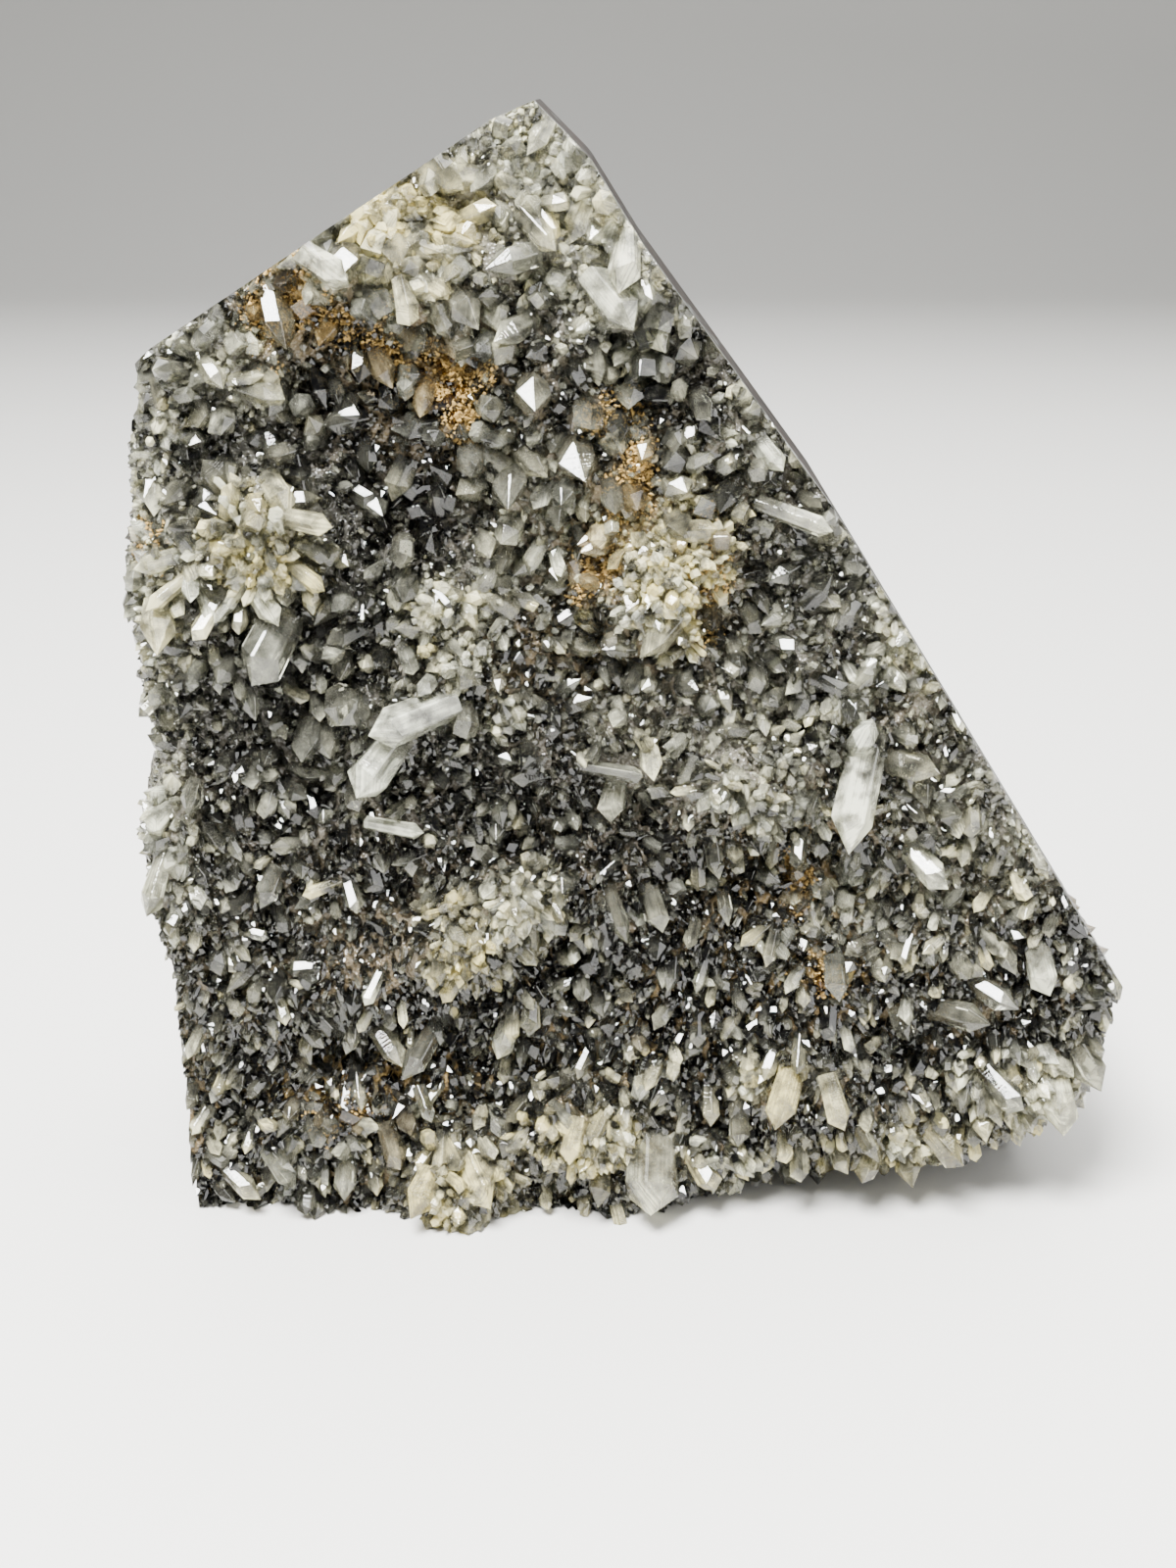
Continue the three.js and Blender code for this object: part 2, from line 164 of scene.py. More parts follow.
def patchSum(patches, x, z):
    # Sum of bell-shaped patches, each strength * exp(-((x-x0)/across)^2 - ((z-z0)/up)^2)
    x, z = np.asarray(x, float)[..., None], np.asarray(z, float)[..., None]
    bells = np.exp(-((x - patches[:, 0]) / patches[:, 2]) ** 2 - ((z - patches[:, 1]) / patches[:, 3]) ** 2)
    return (bells * patches[:, 4]).sum(-1)


def waveSum(rows, x, z):
    # Sum of sine waves, each height * sin(across*x + up*z + shift)
    x, z = np.asarray(x, float)[..., None], np.asarray(z, float)[..., None]
    return (rows[:, 2] * np.sin(rows[:, 0] * x + rows[:, 1] * z + rows[:, 3])).sum(-1)


# How the patches wander on the grown sides: mm up and down, share across, waves along y and z
drift = dict(start=-12, full=2, up=7, across=0.1, alongY=0.42, alongZ=0.21, quicker=1.7)


def drifted(place):
    # x and z at which a place reads the patches: with deep from 0 at the front to 1 on the sides,
    # x * (1 - across*deep*(1 + cos(quicker*wave))) and z + up*deep*sin(wave)
    deep = smoothStep(drift["start"], drift["full"], place[:, 1])
    wave = drift["alongY"] * place[:, 1] + drift["alongZ"] * place[:, 2]
    x = place[:, 0] * (1 - drift["across"] * deep * (1 + np.cos(drift["quicker"] * wave)))
    return x, place[:, 2] + drift["up"] * deep * np.sin(wave)


def roundOver(inset, radius):
    # Quarter-round drop: the whole radius at the rim, nothing where the inset passes the radius
    short = radius - np.clip(inset, 0, radius)
    return radius - np.sqrt(radius * radius - short * short)


# How what grew ends: mm inside the nominal sides, two waves of the rims as height and pace, how far they
# draw in or widen between two heights, and how broadly the rims roll over
rims = dict(inside=0.8, slowWave=(0.5, 0.21), quickWave=(0.4, 0.53), inAtTop=1.6, top=(76, 92), outAtCorner=4,
            corner=(20, 34), inAtFoot=4.5, foot=(4, 20), leftRound=4, rightRound=6, rightRoundEnds=(24, 32),
            footRound=3, footRoundMore=7, footRoundFrom=(-5, 25), liftFrom=(-12, 4))


def underside(x, y):
    # Height of the grown underside, which leaves the ground towards the right
    behind = stone["footLiftBehind"] - stone["footLiftStart"]
    start = stone["footLiftStart"] + behind * smoothStep(*rims["liftFrom"], y)
    return stone["footLift"] * np.maximum(x - start, 0) - stone["footAllowance"]


def grownLimits(z):
    # Left and right end of what grew, before the saw
    quick, slow = rims["quickWave"], rims["slowWave"]
    waver = quick[0] * np.sin(quick[1] * z) - slow[0] * np.sin(slow[1] * z)
    left = stone["leftSide"] - rims["inside"] + waver + rims["inAtTop"] * smoothStep(*rims["top"], z)
    right = stone["rightCorner"] - rims["inside"] + rims["outAtCorner"] * smoothStep(*rims["corner"], z)
    return left, right - rims["inAtFoot"] * (1 - smoothStep(*rims["foot"], z))


def limits(z):
    # Left and right end of the stone at a height: what grew, cut by the sawn outline
    left, right = grownLimits(z)
    cutLeft = np.interp(z, sawnLeft[:, 0], sawnLeft[:, 1])
    cutRight = np.interp(z, sawnRight[:, 0], sawnRight[:, 1])
    return np.maximum(left, cutLeft), np.minimum(right, cutRight)


def frontLevel(x, z):
    # Level of the crystal tips: mean face, lumps and waves, with the grown rims rolled over
    left, right = grownLimits(z)
    footRadius = rims["footRound"] + rims["footRoundMore"] * smoothStep(*rims["footRoundFrom"], x)
    foot = roundOver(z - underside(x, stone["frontFace"]), footRadius)
    leftRim = roundOver(x - left, rims["leftRound"])
    rightRim = roundOver(right - x, rims["rightRound"]) * (1 - smoothStep(*rims["rightRoundEnds"], z))
    return stone["frontFace"] - patchSum(swells, x, z) - waveSum(waves, x, z) + foot + leftRim + rightRim


def setMesh(name, vertices, faces, attributes, materials, materialOfFace=None):
    # A mesh object from arrays: vertices in mm, faces as lists of corners, one value a vertex per attribute
    mesh = bpy.data.meshes.new(name)
    mesh.from_pydata((vertices * mm).astype(np.float32), [], faces)
    for key, values in attributes.items():
        attribute = mesh.attributes.new(key, "FLOAT", "POINT")
        attribute.data.foreach_set("value", values.astype(np.float32).ravel())
    for material in materials:
        mesh.materials.append(material)
    if materialOfFace is not None:
        mesh.polygons.foreach_set("material_index", materialOfFace.astype(np.int32))
    mesh.update()
    piece = bpy.data.objects.new(name, mesh)
    bpy.context.scene.collection.objects.link(piece)
    return piece


def fromHex(text):
    # sRGB hex to the linear colour that the shaders work in
    parts = [int(text[i:i + 2], 16) / 255 for i in (1, 3, 5)]
    return tuple(c / 12.92 if c <= 0.04045 else ((c + 0.055) / 1.055) ** 2.4 for c in parts) + (1,)


def addNode(tree, kind, inputs=None, **settings):
    # One node with its settings; an input is a value or the socket that feeds it
    node = tree.nodes.new(kind)
    for key, value in settings.items():
        setattr(node, key, value)
    for key, value in (inputs or {}).items():
        if isinstance(value, bpy.types.NodeSocket):
            tree.links.new(value, node.inputs[key])
        else:
            node.inputs[key].default_value = value
    return node


def newMaterial(name):
    material = bpy.data.materials.new(name)
    material.use_nodes = True
    material.node_tree.nodes.clear()
    return material, material.node_tree


# Vein quartz, from clear to milky. Clear points show the dark ore through them and flash on one face;
# gas clouds and iron make others soft white to cream inside. Whiter tips are partly milky quartz and partly
# painted light caught in the tips.
clearQuartz = dict(name="vein_quartz_clear_grown_faces", ior=1.544, roughness=(0.02, 0.08), shade="#87877c",
                   white="#e4e6cf", cream="#dacd8c", rust="#b7934b", clear=(1.0, 0.52), groove=0.3, veil=0.8,
                   streak=0.25, sugar=0.15)
milkyQuartz = dict(name="vein_quartz_milky_iron_stained", ior=1.544, roughness=(0.03, 0.1), shade="#89897f",
                   white="#f0f1d9", cream="#e6d893", rust="#bd9950", clear=(1.0, 0.6), groove=0.3, veil=0.8,
                   streak=0.25, sugar=0.2)


def makeQuartz(look):
    material, tree = newMaterial(look["name"])
    read = {key: addNode(tree, "ShaderNodeAttribute", attribute_name=key).outputs["Fac"]
            for key in ("along", "around", "cloud", "yellow", "rust")}
    place = addNode(tree, "ShaderNodeTexCoord").outputs["Object"]
    wisp = addNode(tree, "ShaderNodeTexNoise", {"Vector": place, "Scale": 1 / (veilSize * mm), "Detail": 5})
    swing = addNode(tree, "ShaderNodeMapRange", {
        "Value": wisp.outputs[0], "From Min": 0.3, "From Max": 0.7, "To Min": 1 - look["veil"],
        "To Max": 1 + look["veil"]})
    turned = addNode(tree, "ShaderNodeMath", {0: read["around"], 1: 1 / streakSize}, operation="MULTIPLY")
    streaks = addNode(tree, "ShaderNodeTexNoise", {
        "W": turned.outputs[0], "Scale": 1.0, "Detail": 2}, noise_dimensions="1D")
    streaked = addNode(tree, "ShaderNodeMapRange", {
        "Value": streaks.outputs[0], "From Min": 0.3, "From Max": 0.7, "To Min": 1 - look["streak"],
        "To Max": 1 + look["streak"]})
    swung = addNode(tree, "ShaderNodeMath", {
        0: swing.outputs[0], 1: streaked.outputs[0]}, operation="MULTIPLY")
    cloud = addNode(tree, "ShaderNodeMath", {
        0: read["cloud"], 1: swung.outputs[0]}, operation="MULTIPLY", use_clamp=True).outputs[0]
    height = addNode(tree, "ShaderNodeMath", {0: read["along"], 1: 1 / growthLine}, operation="MULTIPLY")
    steps = addNode(tree, "ShaderNodeTexNoise", {
        "W": height.outputs[0], "Scale": 1.0, "Detail": 2}, noise_dimensions="1D")
    grooves = addNode(tree, "ShaderNodeBump", {
        "Strength": look["groove"], "Distance": growthDepth * mm, "Height": steps.outputs[0]})
    grains = addNode(tree, "ShaderNodeTexVoronoi", {"Vector": place, "Scale": 1 / (sugarSize * mm)})
    sugar = addNode(tree, "ShaderNodeMath", {0: cloud, 1: look["sugar"]}, operation="MULTIPLY")
    bump = addNode(tree, "ShaderNodeBump", {
        "Strength": sugar.outputs[0], "Distance": sugarDepth * mm, "Height": grains.outputs["Distance"],
        "Normal": grooves.outputs[0]})
    pale = addNode(tree, "ShaderNodeMix", {
        "Factor": read["yellow"], 6: fromHex(look["white"]),
        7: fromHex(look["cream"])}, data_type="RGBA").outputs[2]
    tone = addNode(tree, "ShaderNodeMix", {
        "Factor": cloud, 6: fromHex(look["shade"]), 7: pale}, data_type="RGBA").outputs[2]
    stained = addNode(tree, "ShaderNodeMix", {
        "Factor": read["rust"], 6: tone, 7: fromHex(look["rust"])}, data_type="RGBA").outputs[2]
    clear = addNode(tree, "ShaderNodeMapRange", {
        "Value": cloud, "To Min": look["clear"][0], "To Max": look["clear"][1]})
    rough = addNode(tree, "ShaderNodeMapRange", {
        "Value": cloud, "To Min": look["roughness"][0], "To Max": look["roughness"][1]})
    shader = addNode(tree, "ShaderNodeBsdfPrincipled", {
        "Base Color": stained, "Roughness": rough.outputs[0], "IOR": look["ior"],
        "Transmission Weight": clear.outputs[0], "Normal": bump.outputs[0]})
    addNode(tree, "ShaderNodeOutputMaterial", {"Surface": shader.outputs[0]})
    return material


# Rusty limonite crumbs left by weathered iron: dry, dull, orange to brown
limonite = dict(orange="#bf9c55", brown="#5e4a26", grain=0.5, roughness=0.85)


def makeLimonite():
    material, tree = newMaterial("limonite_weathered_crumbs")
    place = addNode(tree, "ShaderNodeTexCoord").outputs["Object"]
    grain = addNode(tree, "ShaderNodeTexNoise", {
        "Vector": place, "Scale": 1 / (limonite["grain"] * mm), "Detail": 3})
    colour = addNode(tree, "ShaderNodeMix", {
        "Factor": grain.outputs[0], 6: fromHex(limonite["brown"]),
        7: fromHex(limonite["orange"])}, data_type="RGBA").outputs[2]
    shader = addNode(tree, "ShaderNodeBsdfPrincipled", {
        "Base Color": colour, "Roughness": limonite["roughness"]})
    addNode(tree, "ShaderNodeOutputMaterial", {"Surface": shader.outputs[0]})
    return material


# Massive sphalerite under the crystals: near black and resinous, so the gaps between points look deep,
# with grey quartz skin and rust on it. It is brown up to some height from the foot.
crust = dict(ore="#35342f", quartzSkin="#8c8b80", cream="#a89f78", rust="#6e5a34", grain=0.8, facet=0.35,
             facetDepth=0.25, bump=0.9, roughness=0.14, ior=1.55, brownBelow=0.42,
             brownFrom=(14, 60))


def makeCrust():
    material, tree = newMaterial("sphalerite_crust_under_points")
    place = addNode(tree, "ShaderNodeTexCoord").outputs["Object"]
    milkAndShade, yellow, rust = [addNode(tree, "ShaderNodeAttribute", attribute_name=key).outputs["Fac"]
                          for key in ("milkAndShade", "yellow", "rust")]
    grain = addNode(tree, "ShaderNodeTexNoise", {
        "Vector": place, "Scale": 1 / (crust["grain"] * mm), "Detail": 4})
    skinTone = addNode(tree, "ShaderNodeMix", {
        "Factor": yellow, 6: fromHex(crust["quartzSkin"]),
        7: fromHex(crust["cream"])}, data_type="RGBA").outputs[2]
    # Pale quartz skin over the dark ore; where the negative milky rows lower it in hollows, the ore shows
    # through as painted shade
    skin = addNode(tree, "ShaderNodeMath", {0: milkAndShade, 1: grain.outputs[0]}, operation="MULTIPLY")
    skinned = addNode(tree, "ShaderNodeMix", {
        "Factor": skin.outputs[0], 6: fromHex(crust["ore"]), 7: skinTone}, data_type="RGBA").outputs[2]
    rusted = addNode(tree, "ShaderNodeMix", {
        "Factor": rust, 6: skinned, 7: fromHex(crust["rust"])}, data_type="RGBA").outputs[2]
    facets = addNode(tree, "ShaderNodeTexVoronoi", {"Vector": place, "Scale": 1 / (crust["facet"] * mm)})
    bump = addNode(tree, "ShaderNodeBump", {
        "Strength": crust["bump"], "Distance": crust["facetDepth"] * mm,
        "Height": facets.outputs["Distance"]})
    shader = addNode(tree, "ShaderNodeBsdfPrincipled", {
        "Base Color": rusted, "Roughness": crust["roughness"], "IOR": crust["ior"],
        "Normal": bump.outputs[0]})
    addNode(tree, "ShaderNodeOutputMaterial", {"Surface": shader.outputs[0]})
    return material


# The sawn faces. Black to brown sphalerite in interlocking grains, each with a gloss of its own from the
# way its cleavage lies; grey quartz runs through it in threads and blebs, and stands as a comb of
# columns behind the points. The saw left faint arcs that show only in the gloss. Sphalerite's own IOR is
# 2.37, but a matte sawn skin breaks its reflection up, so it reflects as little as the values here say.
sawnOre = dict(
    black="#110f0e",
    brown="#221913",
    seam="#31271b",
    fewBrown=2.2,  # power that makes brown grains fewer than black ones
    grain=1.7,
    sway=0.68,
    crook=1.0,
    seamWidth=0.1,
    seamShare=0.5,
    ior=1.5,
    shine=0.1,
    roughness=(0.4, 0.52),
    arcs=1.3,
    arcCentre=(0.11, 0.02, 0.13),
    arcStrength=0.25,
    arcDepth=0.02,
)
sawnQuartz = dict(
    grey="#45484a",
    pale="#777a72",
    rind=2.6,
    rindSwing=5.0,
    rindEdge=0.25,
    comb=0.35,
    column=0.16,
    blebs=8,
    blebFrom=(0.655, 0.67),
    thread=11,
    threadWidth=0.008,
    bend=0.6,
    ior=1.544,
    roughness=0.42,
    depthShare=0.35,
    glow=1.2,
)


def makeSawnFace():
    material, tree = newMaterial("sphalerite_sawn_flat_with_quartz_rind")
    place = addNode(tree, "ShaderNodeTexCoord").outputs["Object"]
    depth = addNode(tree, "ShaderNodeAttribute", attribute_name="depthIn").outputs["Fac"]

    # Grains with crooked borders
    sway = addNode(tree, "ShaderNodeTexNoise", {"Vector": place, "Scale": 1 / (sawnOre["sway"] * mm)})
    push = addNode(tree, "ShaderNodeVectorMath", {
        0: sway.outputs["Color"], 1: (sawnOre["crook"] * mm,) * 3}, operation="MULTIPLY")
    bent = addNode(tree, "ShaderNodeVectorMath", {0: place, 1: push.outputs[0]}, operation="ADD")
    grains = addNode(tree, "ShaderNodeTexVoronoi", {
        "Vector": bent.outputs[0], "Scale": 1 / (sawnOre["grain"] * mm)})
    borders = addNode(tree, "ShaderNodeTexVoronoi", {
        "Vector": bent.outputs[0], "Scale": 1 / (sawnOre["grain"] * mm)}, feature="DISTANCE_TO_EDGE")
    chance = addNode(tree, "ShaderNodeSeparateColor", {"Color": grains.outputs["Color"]})
    few = addNode(tree, "ShaderNodeMath", {0: chance.outputs[0], 1: sawnOre["fewBrown"]}, operation="POWER")
    ore = addNode(tree, "ShaderNodeMix", {
        "Factor": few.outputs[0], 6: fromHex(sawnOre["black"]),
        7: fromHex(sawnOre["brown"])}, data_type="RGBA").outputs[2]
    seam = addNode(tree, "ShaderNodeMapRange", {
        "Value": borders.outputs["Distance"], "From Min": 0.0,
        "From Max": sawnOre["seamWidth"] / sawnOre["grain"], "To Min": sawnOre["seamShare"], "To Max": 0.0})
    oreTone = addNode(tree, "ShaderNodeMix", {
        "Factor": seam.outputs[0], 6: ore, 7: fromHex(sawnOre["seam"])}, data_type="RGBA").outputs[2]
    gloss = addNode(tree, "ShaderNodeMapRange", {
        "Value": chance.outputs[1], "To Min": sawnOre["roughness"][0], "To Max": sawnOre["roughness"][1]})
    around = addNode(tree, "ShaderNodeVectorMath", {0: place, 1: sawnOre["arcCentre"]}, operation="DISTANCE")
    arcs = addNode(tree, "ShaderNodeTexNoise", {
        "W": around.outputs["Value"], "Scale": 1 / (sawnOre["arcs"] * mm),
        "Detail": 3}, noise_dimensions="1D")
    bump = addNode(tree, "ShaderNodeBump", {
        "Strength": sawnOre["arcStrength"], "Height": arcs.outputs[0], "Distance": sawnOre["arcDepth"] * mm})
    oreShader = addNode(tree, "ShaderNodeBsdfPrincipled", {
        "Base Color": oreTone, "Roughness": gloss.outputs[0], "IOR": sawnOre["ior"],
        "Specular IOR Level": sawnOre["shine"], "Normal": bump.outputs[0]})

    # Quartz: the rind behind the points, blebs, and threads where a broad noise crosses its middle
    broad = addNode(tree, "ShaderNodeTexNoise", {
        "Vector": place, "Scale": 1 / (sawnQuartz["blebs"] * mm), "Detail": 5})
    edge = addNode(tree, "ShaderNodeMath", {
        0: broad.outputs[0], 1: -sawnQuartz["rindSwing"], 2: depth}, operation="MULTIPLY_ADD")
    rindEnd = sawnQuartz["rind"] - 0.5 * sawnQuartz["rindSwing"]
    rind = addNode(tree, "ShaderNodeMapRange", {
        "Value": edge.outputs[0], "From Min": rindEnd, "From Max": rindEnd + sawnQuartz["rindEdge"],
        "To Min": 1.0, "To Max": 0.0})
    blebs = addNode(tree, "ShaderNodeMapRange", {
        "Value": broad.outputs[0], "From Min": sawnQuartz["blebFrom"][0],
        "From Max": sawnQuartz["blebFrom"][1]})
    winding = addNode(tree, "ShaderNodeTexNoise", {
        "Vector": place, "Scale": 1 / (sawnQuartz["thread"] * mm), "Detail": 4,
        "Distortion": sawnQuartz["bend"]})
    middle = addNode(tree, "ShaderNodeMath", {0: winding.outputs[0], 1: 0.5}, operation="SUBTRACT")
    off = addNode(tree, "ShaderNodeMath", {0: middle.outputs[0]}, operation="ABSOLUTE")
    thread = addNode(tree, "ShaderNodeMapRange", {
        "Value": off.outputs[0], "From Max": sawnQuartz["threadWidth"], "To Min": 1.0, "To Max": 0.0})
    broken = addNode(tree, "ShaderNodeMath", {
        0: thread.outputs[0], 1: chance.outputs[2]}, operation="MULTIPLY")
    most = addNode(tree, "ShaderNodeMath", {0: rind.outputs[0], 1: blebs.outputs[0]}, operation="MAXIMUM")
    share = addNode(tree, "ShaderNodeMath", {
        0: most.outputs[0], 1: broken.outputs[0]}, operation="MAXIMUM", use_clamp=True)
    # Its columns run from back to front, so the noise is drawn out along y
    drawn = addNode(tree, "ShaderNodeVectorMath", {
        0: place, 1: (1, sawnQuartz["column"], 1)}, operation="MULTIPLY")
    comb = addNode(tree, "ShaderNodeTexNoise", {
        "Vector": drawn.outputs[0], "Scale": 1 / (sawnQuartz["comb"] * mm), "Detail": 3})
    combed = addNode(tree, "ShaderNodeMapRange", {
        "Value": comb.outputs[0], "From Min": 0.3, "From Max": 0.75})
    quartzTone = addNode(tree, "ShaderNodeMix", {
        "Factor": combed.outputs[0], 6: fromHex(sawnQuartz["grey"]),
        7: fromHex(sawnQuartz["pale"])}, data_type="RGBA").outputs[2]
    quartzShader = addNode(tree, "ShaderNodeBsdfPrincipled", {
        "Base Color": quartzTone, "Roughness": sawnQuartz["roughness"], "IOR": sawnQuartz["ior"],
        "Subsurface Weight": sawnQuartz["depthShare"], "Subsurface Radius": (1.0, 1.0, 0.9),
        "Subsurface Scale": sawnQuartz["glow"] * mm, "Normal": bump.outputs[0]})
    both = addNode(tree, "ShaderNodeMixShader", {
        0: share.outputs[0], 1: oreShader.outputs[0], 2: quartzShader.outputs[0]})
    addNode(tree, "ShaderNodeOutputMaterial", {"Surface": both.outputs[0]})
    return material


# The stone's body: a front grid drawn to the outline, walls carried back from its rim, and the sawn back
slab = dict(across=170, up=196, wallSteps=22, crystalDepth=0.9, apex=114.22, near=0.05, settling=4,
            footRipple=0.35, fanHeight=0.35, leastSquare=0.5)
# Waves of the grown walls: height, along y, along z, shift
wallWaves = ((0.6, 0.9, 0.5, 0), (0.4, 2.1, -1.3, 1))


def slabArrays():
    # Front grid: x(u,v) = left + (right-left)*u and z(u,v) = foot*(1-v) + apex*v, level from frontLevel
    u = np.linspace(0, 1, slab["across"] + 1)[None, :]
    v = np.linspace(0, 1, slab["up"] + 1)[:, None]
    z = slab["apex"] * v + 0 * u
    for settle in range(slab["settling"]):
        left, right = limits(z)
        x = left + (right - left) * u
        foot = np.maximum(underside(x, stone["frontFace"]), 0)
        z = foot * (1 - v) + slab["apex"] * v
    left, right = limits(z)
    x = left + (right - left) * u
    y = frontLevel(x, z) + slab["crystalDepth"] - waveSum(ripples, x, z)
    front = np.stack([x, y, z], -1)

    # The rim of the grid, once round: foot, right, top, left
    rows, columns = z.shape
    number = np.arange(rows * columns).reshape(rows, columns)
    rim = np.concatenate([number[0, :-1], number[:-1, -1], number[-1, :0:-1], number[:0:-1, 0]])
    start = front.reshape(-1, 3)[rim]
    onFoot = np.zeros(len(rim), bool)
    onFoot[:columns - 1] = True

    # Walls: every rim point carried straight back, wavering where the stone grew
    grownLeft, grownRight = grownLimits(start[:, 2])
    leftGrew = (np.abs(start[:, 0] - grownLeft) < slab["near"]) & ~onFoot
    rightGrew = (np.abs(start[:, 0] - grownRight) < slab["near"]) & ~onFoot
    across = np.roll(start, -1, 0) - np.roll(start, 1, 0)
    outward = np.stack([across[:, 2], 0 * across[:, 0], -across[:, 0]], -1)
    outward /= np.linalg.norm(outward, axis=1)[:, None]
    t = np.linspace(0, 1, slab["wallSteps"] + 1)[1:, None]
    back = stone["backAtBase"] - stone["backLean"] * start[:, 2] - stone["softenedEdge"]
    wallY = start[:, 1] + (back - start[:, 1]) * t
    wall = np.repeat(start[None], len(t), 0)
    wall[:, :, 1] = wallY
    grew = (leftGrew | rightGrew)[None] & (t < 1)
    swing = sum(high * np.sin(alongY * wallY + alongZ * start[:, 2] + shift)
                for high, alongY, alongZ, shift in wallWaves)
    wall += outward[None] * (swing * grew * np.minimum(1, 4 * (1 - t)))[:, :, None]
    lifted = np.maximum(underside(wall[:, :, 0], wallY), 0)
    ripple = slab["footRipple"] * np.sin(1.1 * wallY + 0.8 * start[:, 0]) * (lifted > 0)
    wall[:, :, 2] = np.where(onFoot[None], np.maximum(lifted + ripple, 0), wall[:, :, 2])
    grewBelow = onFoot[None] & (lifted > 0)

    # Last ring, drawn in towards the middle by the softened edge, closes as a fan: the flat back
    middle = np.array([0.5 * (stone["leftSide"] + stone["rightCorner"]), 0, slab["fanHeight"] * slab["apex"]])
    inward = unit((middle - wall[-1]) * (1, 0, 1))
    square = np.maximum(-(inward * outward).sum(-1, keepdims=True), slab["leastSquare"])
    inset = wall[-1] + inward * stone["softenedEdge"] / square
    inset = np.concatenate([inset, middle[None]])
    inset[:, 1] = stone["backAtBase"] - stone["backLean"] * inset[:, 2]
    vertices = np.concatenate([front.reshape(-1, 3), wall.reshape(-1, 3), inset])
    a, b, c, d = number[:-1, :-1], number[:-1, 1:], number[1:, 1:], number[1:, :-1]
    frontFaces = np.stack([a, b, c, d], -1).reshape(-1, 4)
    later = rows * columns + np.arange((len(t) + 1) * len(rim)).reshape(-1, len(rim))
    rings = np.concatenate([rim[None], later])
    nextRings = np.roll(rings, -1, 1)
    wallFaces = np.stack([rings[:-1], rings[1:], nextRings[1:], nextRings[:-1]], -1).reshape(-1, 4)
    wallGrew = np.concatenate([grew | grewBelow, np.zeros((1, len(rim)), bool)]).reshape(-1)
    backFaces = np.stack([rings[-1], np.full(len(rim), len(vertices) - 1), nextRings[-1]], -1)
    return vertices, frontFaces, wallFaces, backFaces, wallGrew


def buildSlab(materials):
    vertices, frontFaces, wallFaces, backFaces, wallGrew = slabArrays()
    faces = frontFaces.tolist() + wallFaces.tolist() + backFaces.tolist()
    x, z = drifted(vertices)
    attributes = dict(
        # Milky quartz skin, lowered in hollows by the negative rows: painted shade
        milkAndShade=np.clip(patchSum(milkyAndShadePatches, x, z), 0, 1),
        yellow=np.clip(patchSum(yellowPatches, x, z), 0, 1),
        rust=np.clip(patchSum(rustPatches, x, z) + patchSum(stainPatches, x, z)
                     + crust["brownBelow"] * (1 - smoothStep(*crust["brownFrom"], z)), 0, 1),
        depthIn=vertices[:, 1] - frontLevel(vertices[:, 0], vertices[:, 2]),
    )
    sawn = np.concatenate([np.zeros(len(frontFaces)), 1 - wallGrew, np.ones(len(backFaces))])
    piece = setMesh("sphalerite_slab", vertices, faces, attributes, materials, sawn)
    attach(piece, "root")
    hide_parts("sphalerite_specimen")
    print("slab:", len(vertices), "points", len(faces), "faces")
    grown = np.concatenate([frontFaces, wallFaces[wallGrew]])
    return vertices, grown


def spreadPlaces(vertices, quads, tries, spacing):
    # Random places on the quads, thinned to about one for each cube of the given spacing
    corner = vertices[quads]
    cross = np.cross(corner[:, 2] - corner[:, 0], corner[:, 3] - corner[:, 1])
    area = np.linalg.norm(cross, axis=1) / 2
    normal = cross / np.maximum(np.linalg.norm(cross, axis=1), 1e-9)[:, None]
    normal = np.where((area > 1e-9)[:, None], normal, 0)
    total = np.cumsum(area)
    chosen = np.searchsorted(total, luck.random(tries) * total[-1])
    a, b = luck.random((2, tries, 1))
    q = corner[chosen]
    place = (1 - a) * (1 - b) * q[:, 0] + a * (1 - b) * q[:, 1] + a * b * q[:, 2] + (1 - a) * b * q[:, 3]
    cell = np.floor(place / spacing).astype(np.int64)
    key = cell[:, 0] * 1000003 + cell[:, 1] * 10007 + cell[:, 2]
    first = np.unique(key, return_index=True)[1]
    return place[first], normal[chosen[first]]


def cutBySaw(points):
    # Points past a sawn side are brought back to it across; none goes below the ground
    z = np.clip(points[..., 2], 0.03, stone["height"])
    cutLeft = np.interp(z, sawnLeft[:, 0], sawnLeft[:, 1])
    cutRight = np.interp(z, sawnRight[:, 0], sawnRight[:, 1])
    x = np.minimum(np.maximum(points[..., 0], cutLeft), cutRight)
    return np.stack([x, points[..., 1], z], -1)


# How quartz ends: the steepness of its tip faces, and how far the three lesser ones lag behind
quartzTip = dict(steep=(1.0, 1.7), lag=(0.5, 1.0), stray=0.08, flat=(0.7, 1.0), lean=0.2, trim=0.35,
                 leastPrism=0.25, rootWidth=(0.75, 1.0))
bevel = 0.07  # radians to each side of a prism edge, for points large enough to show it


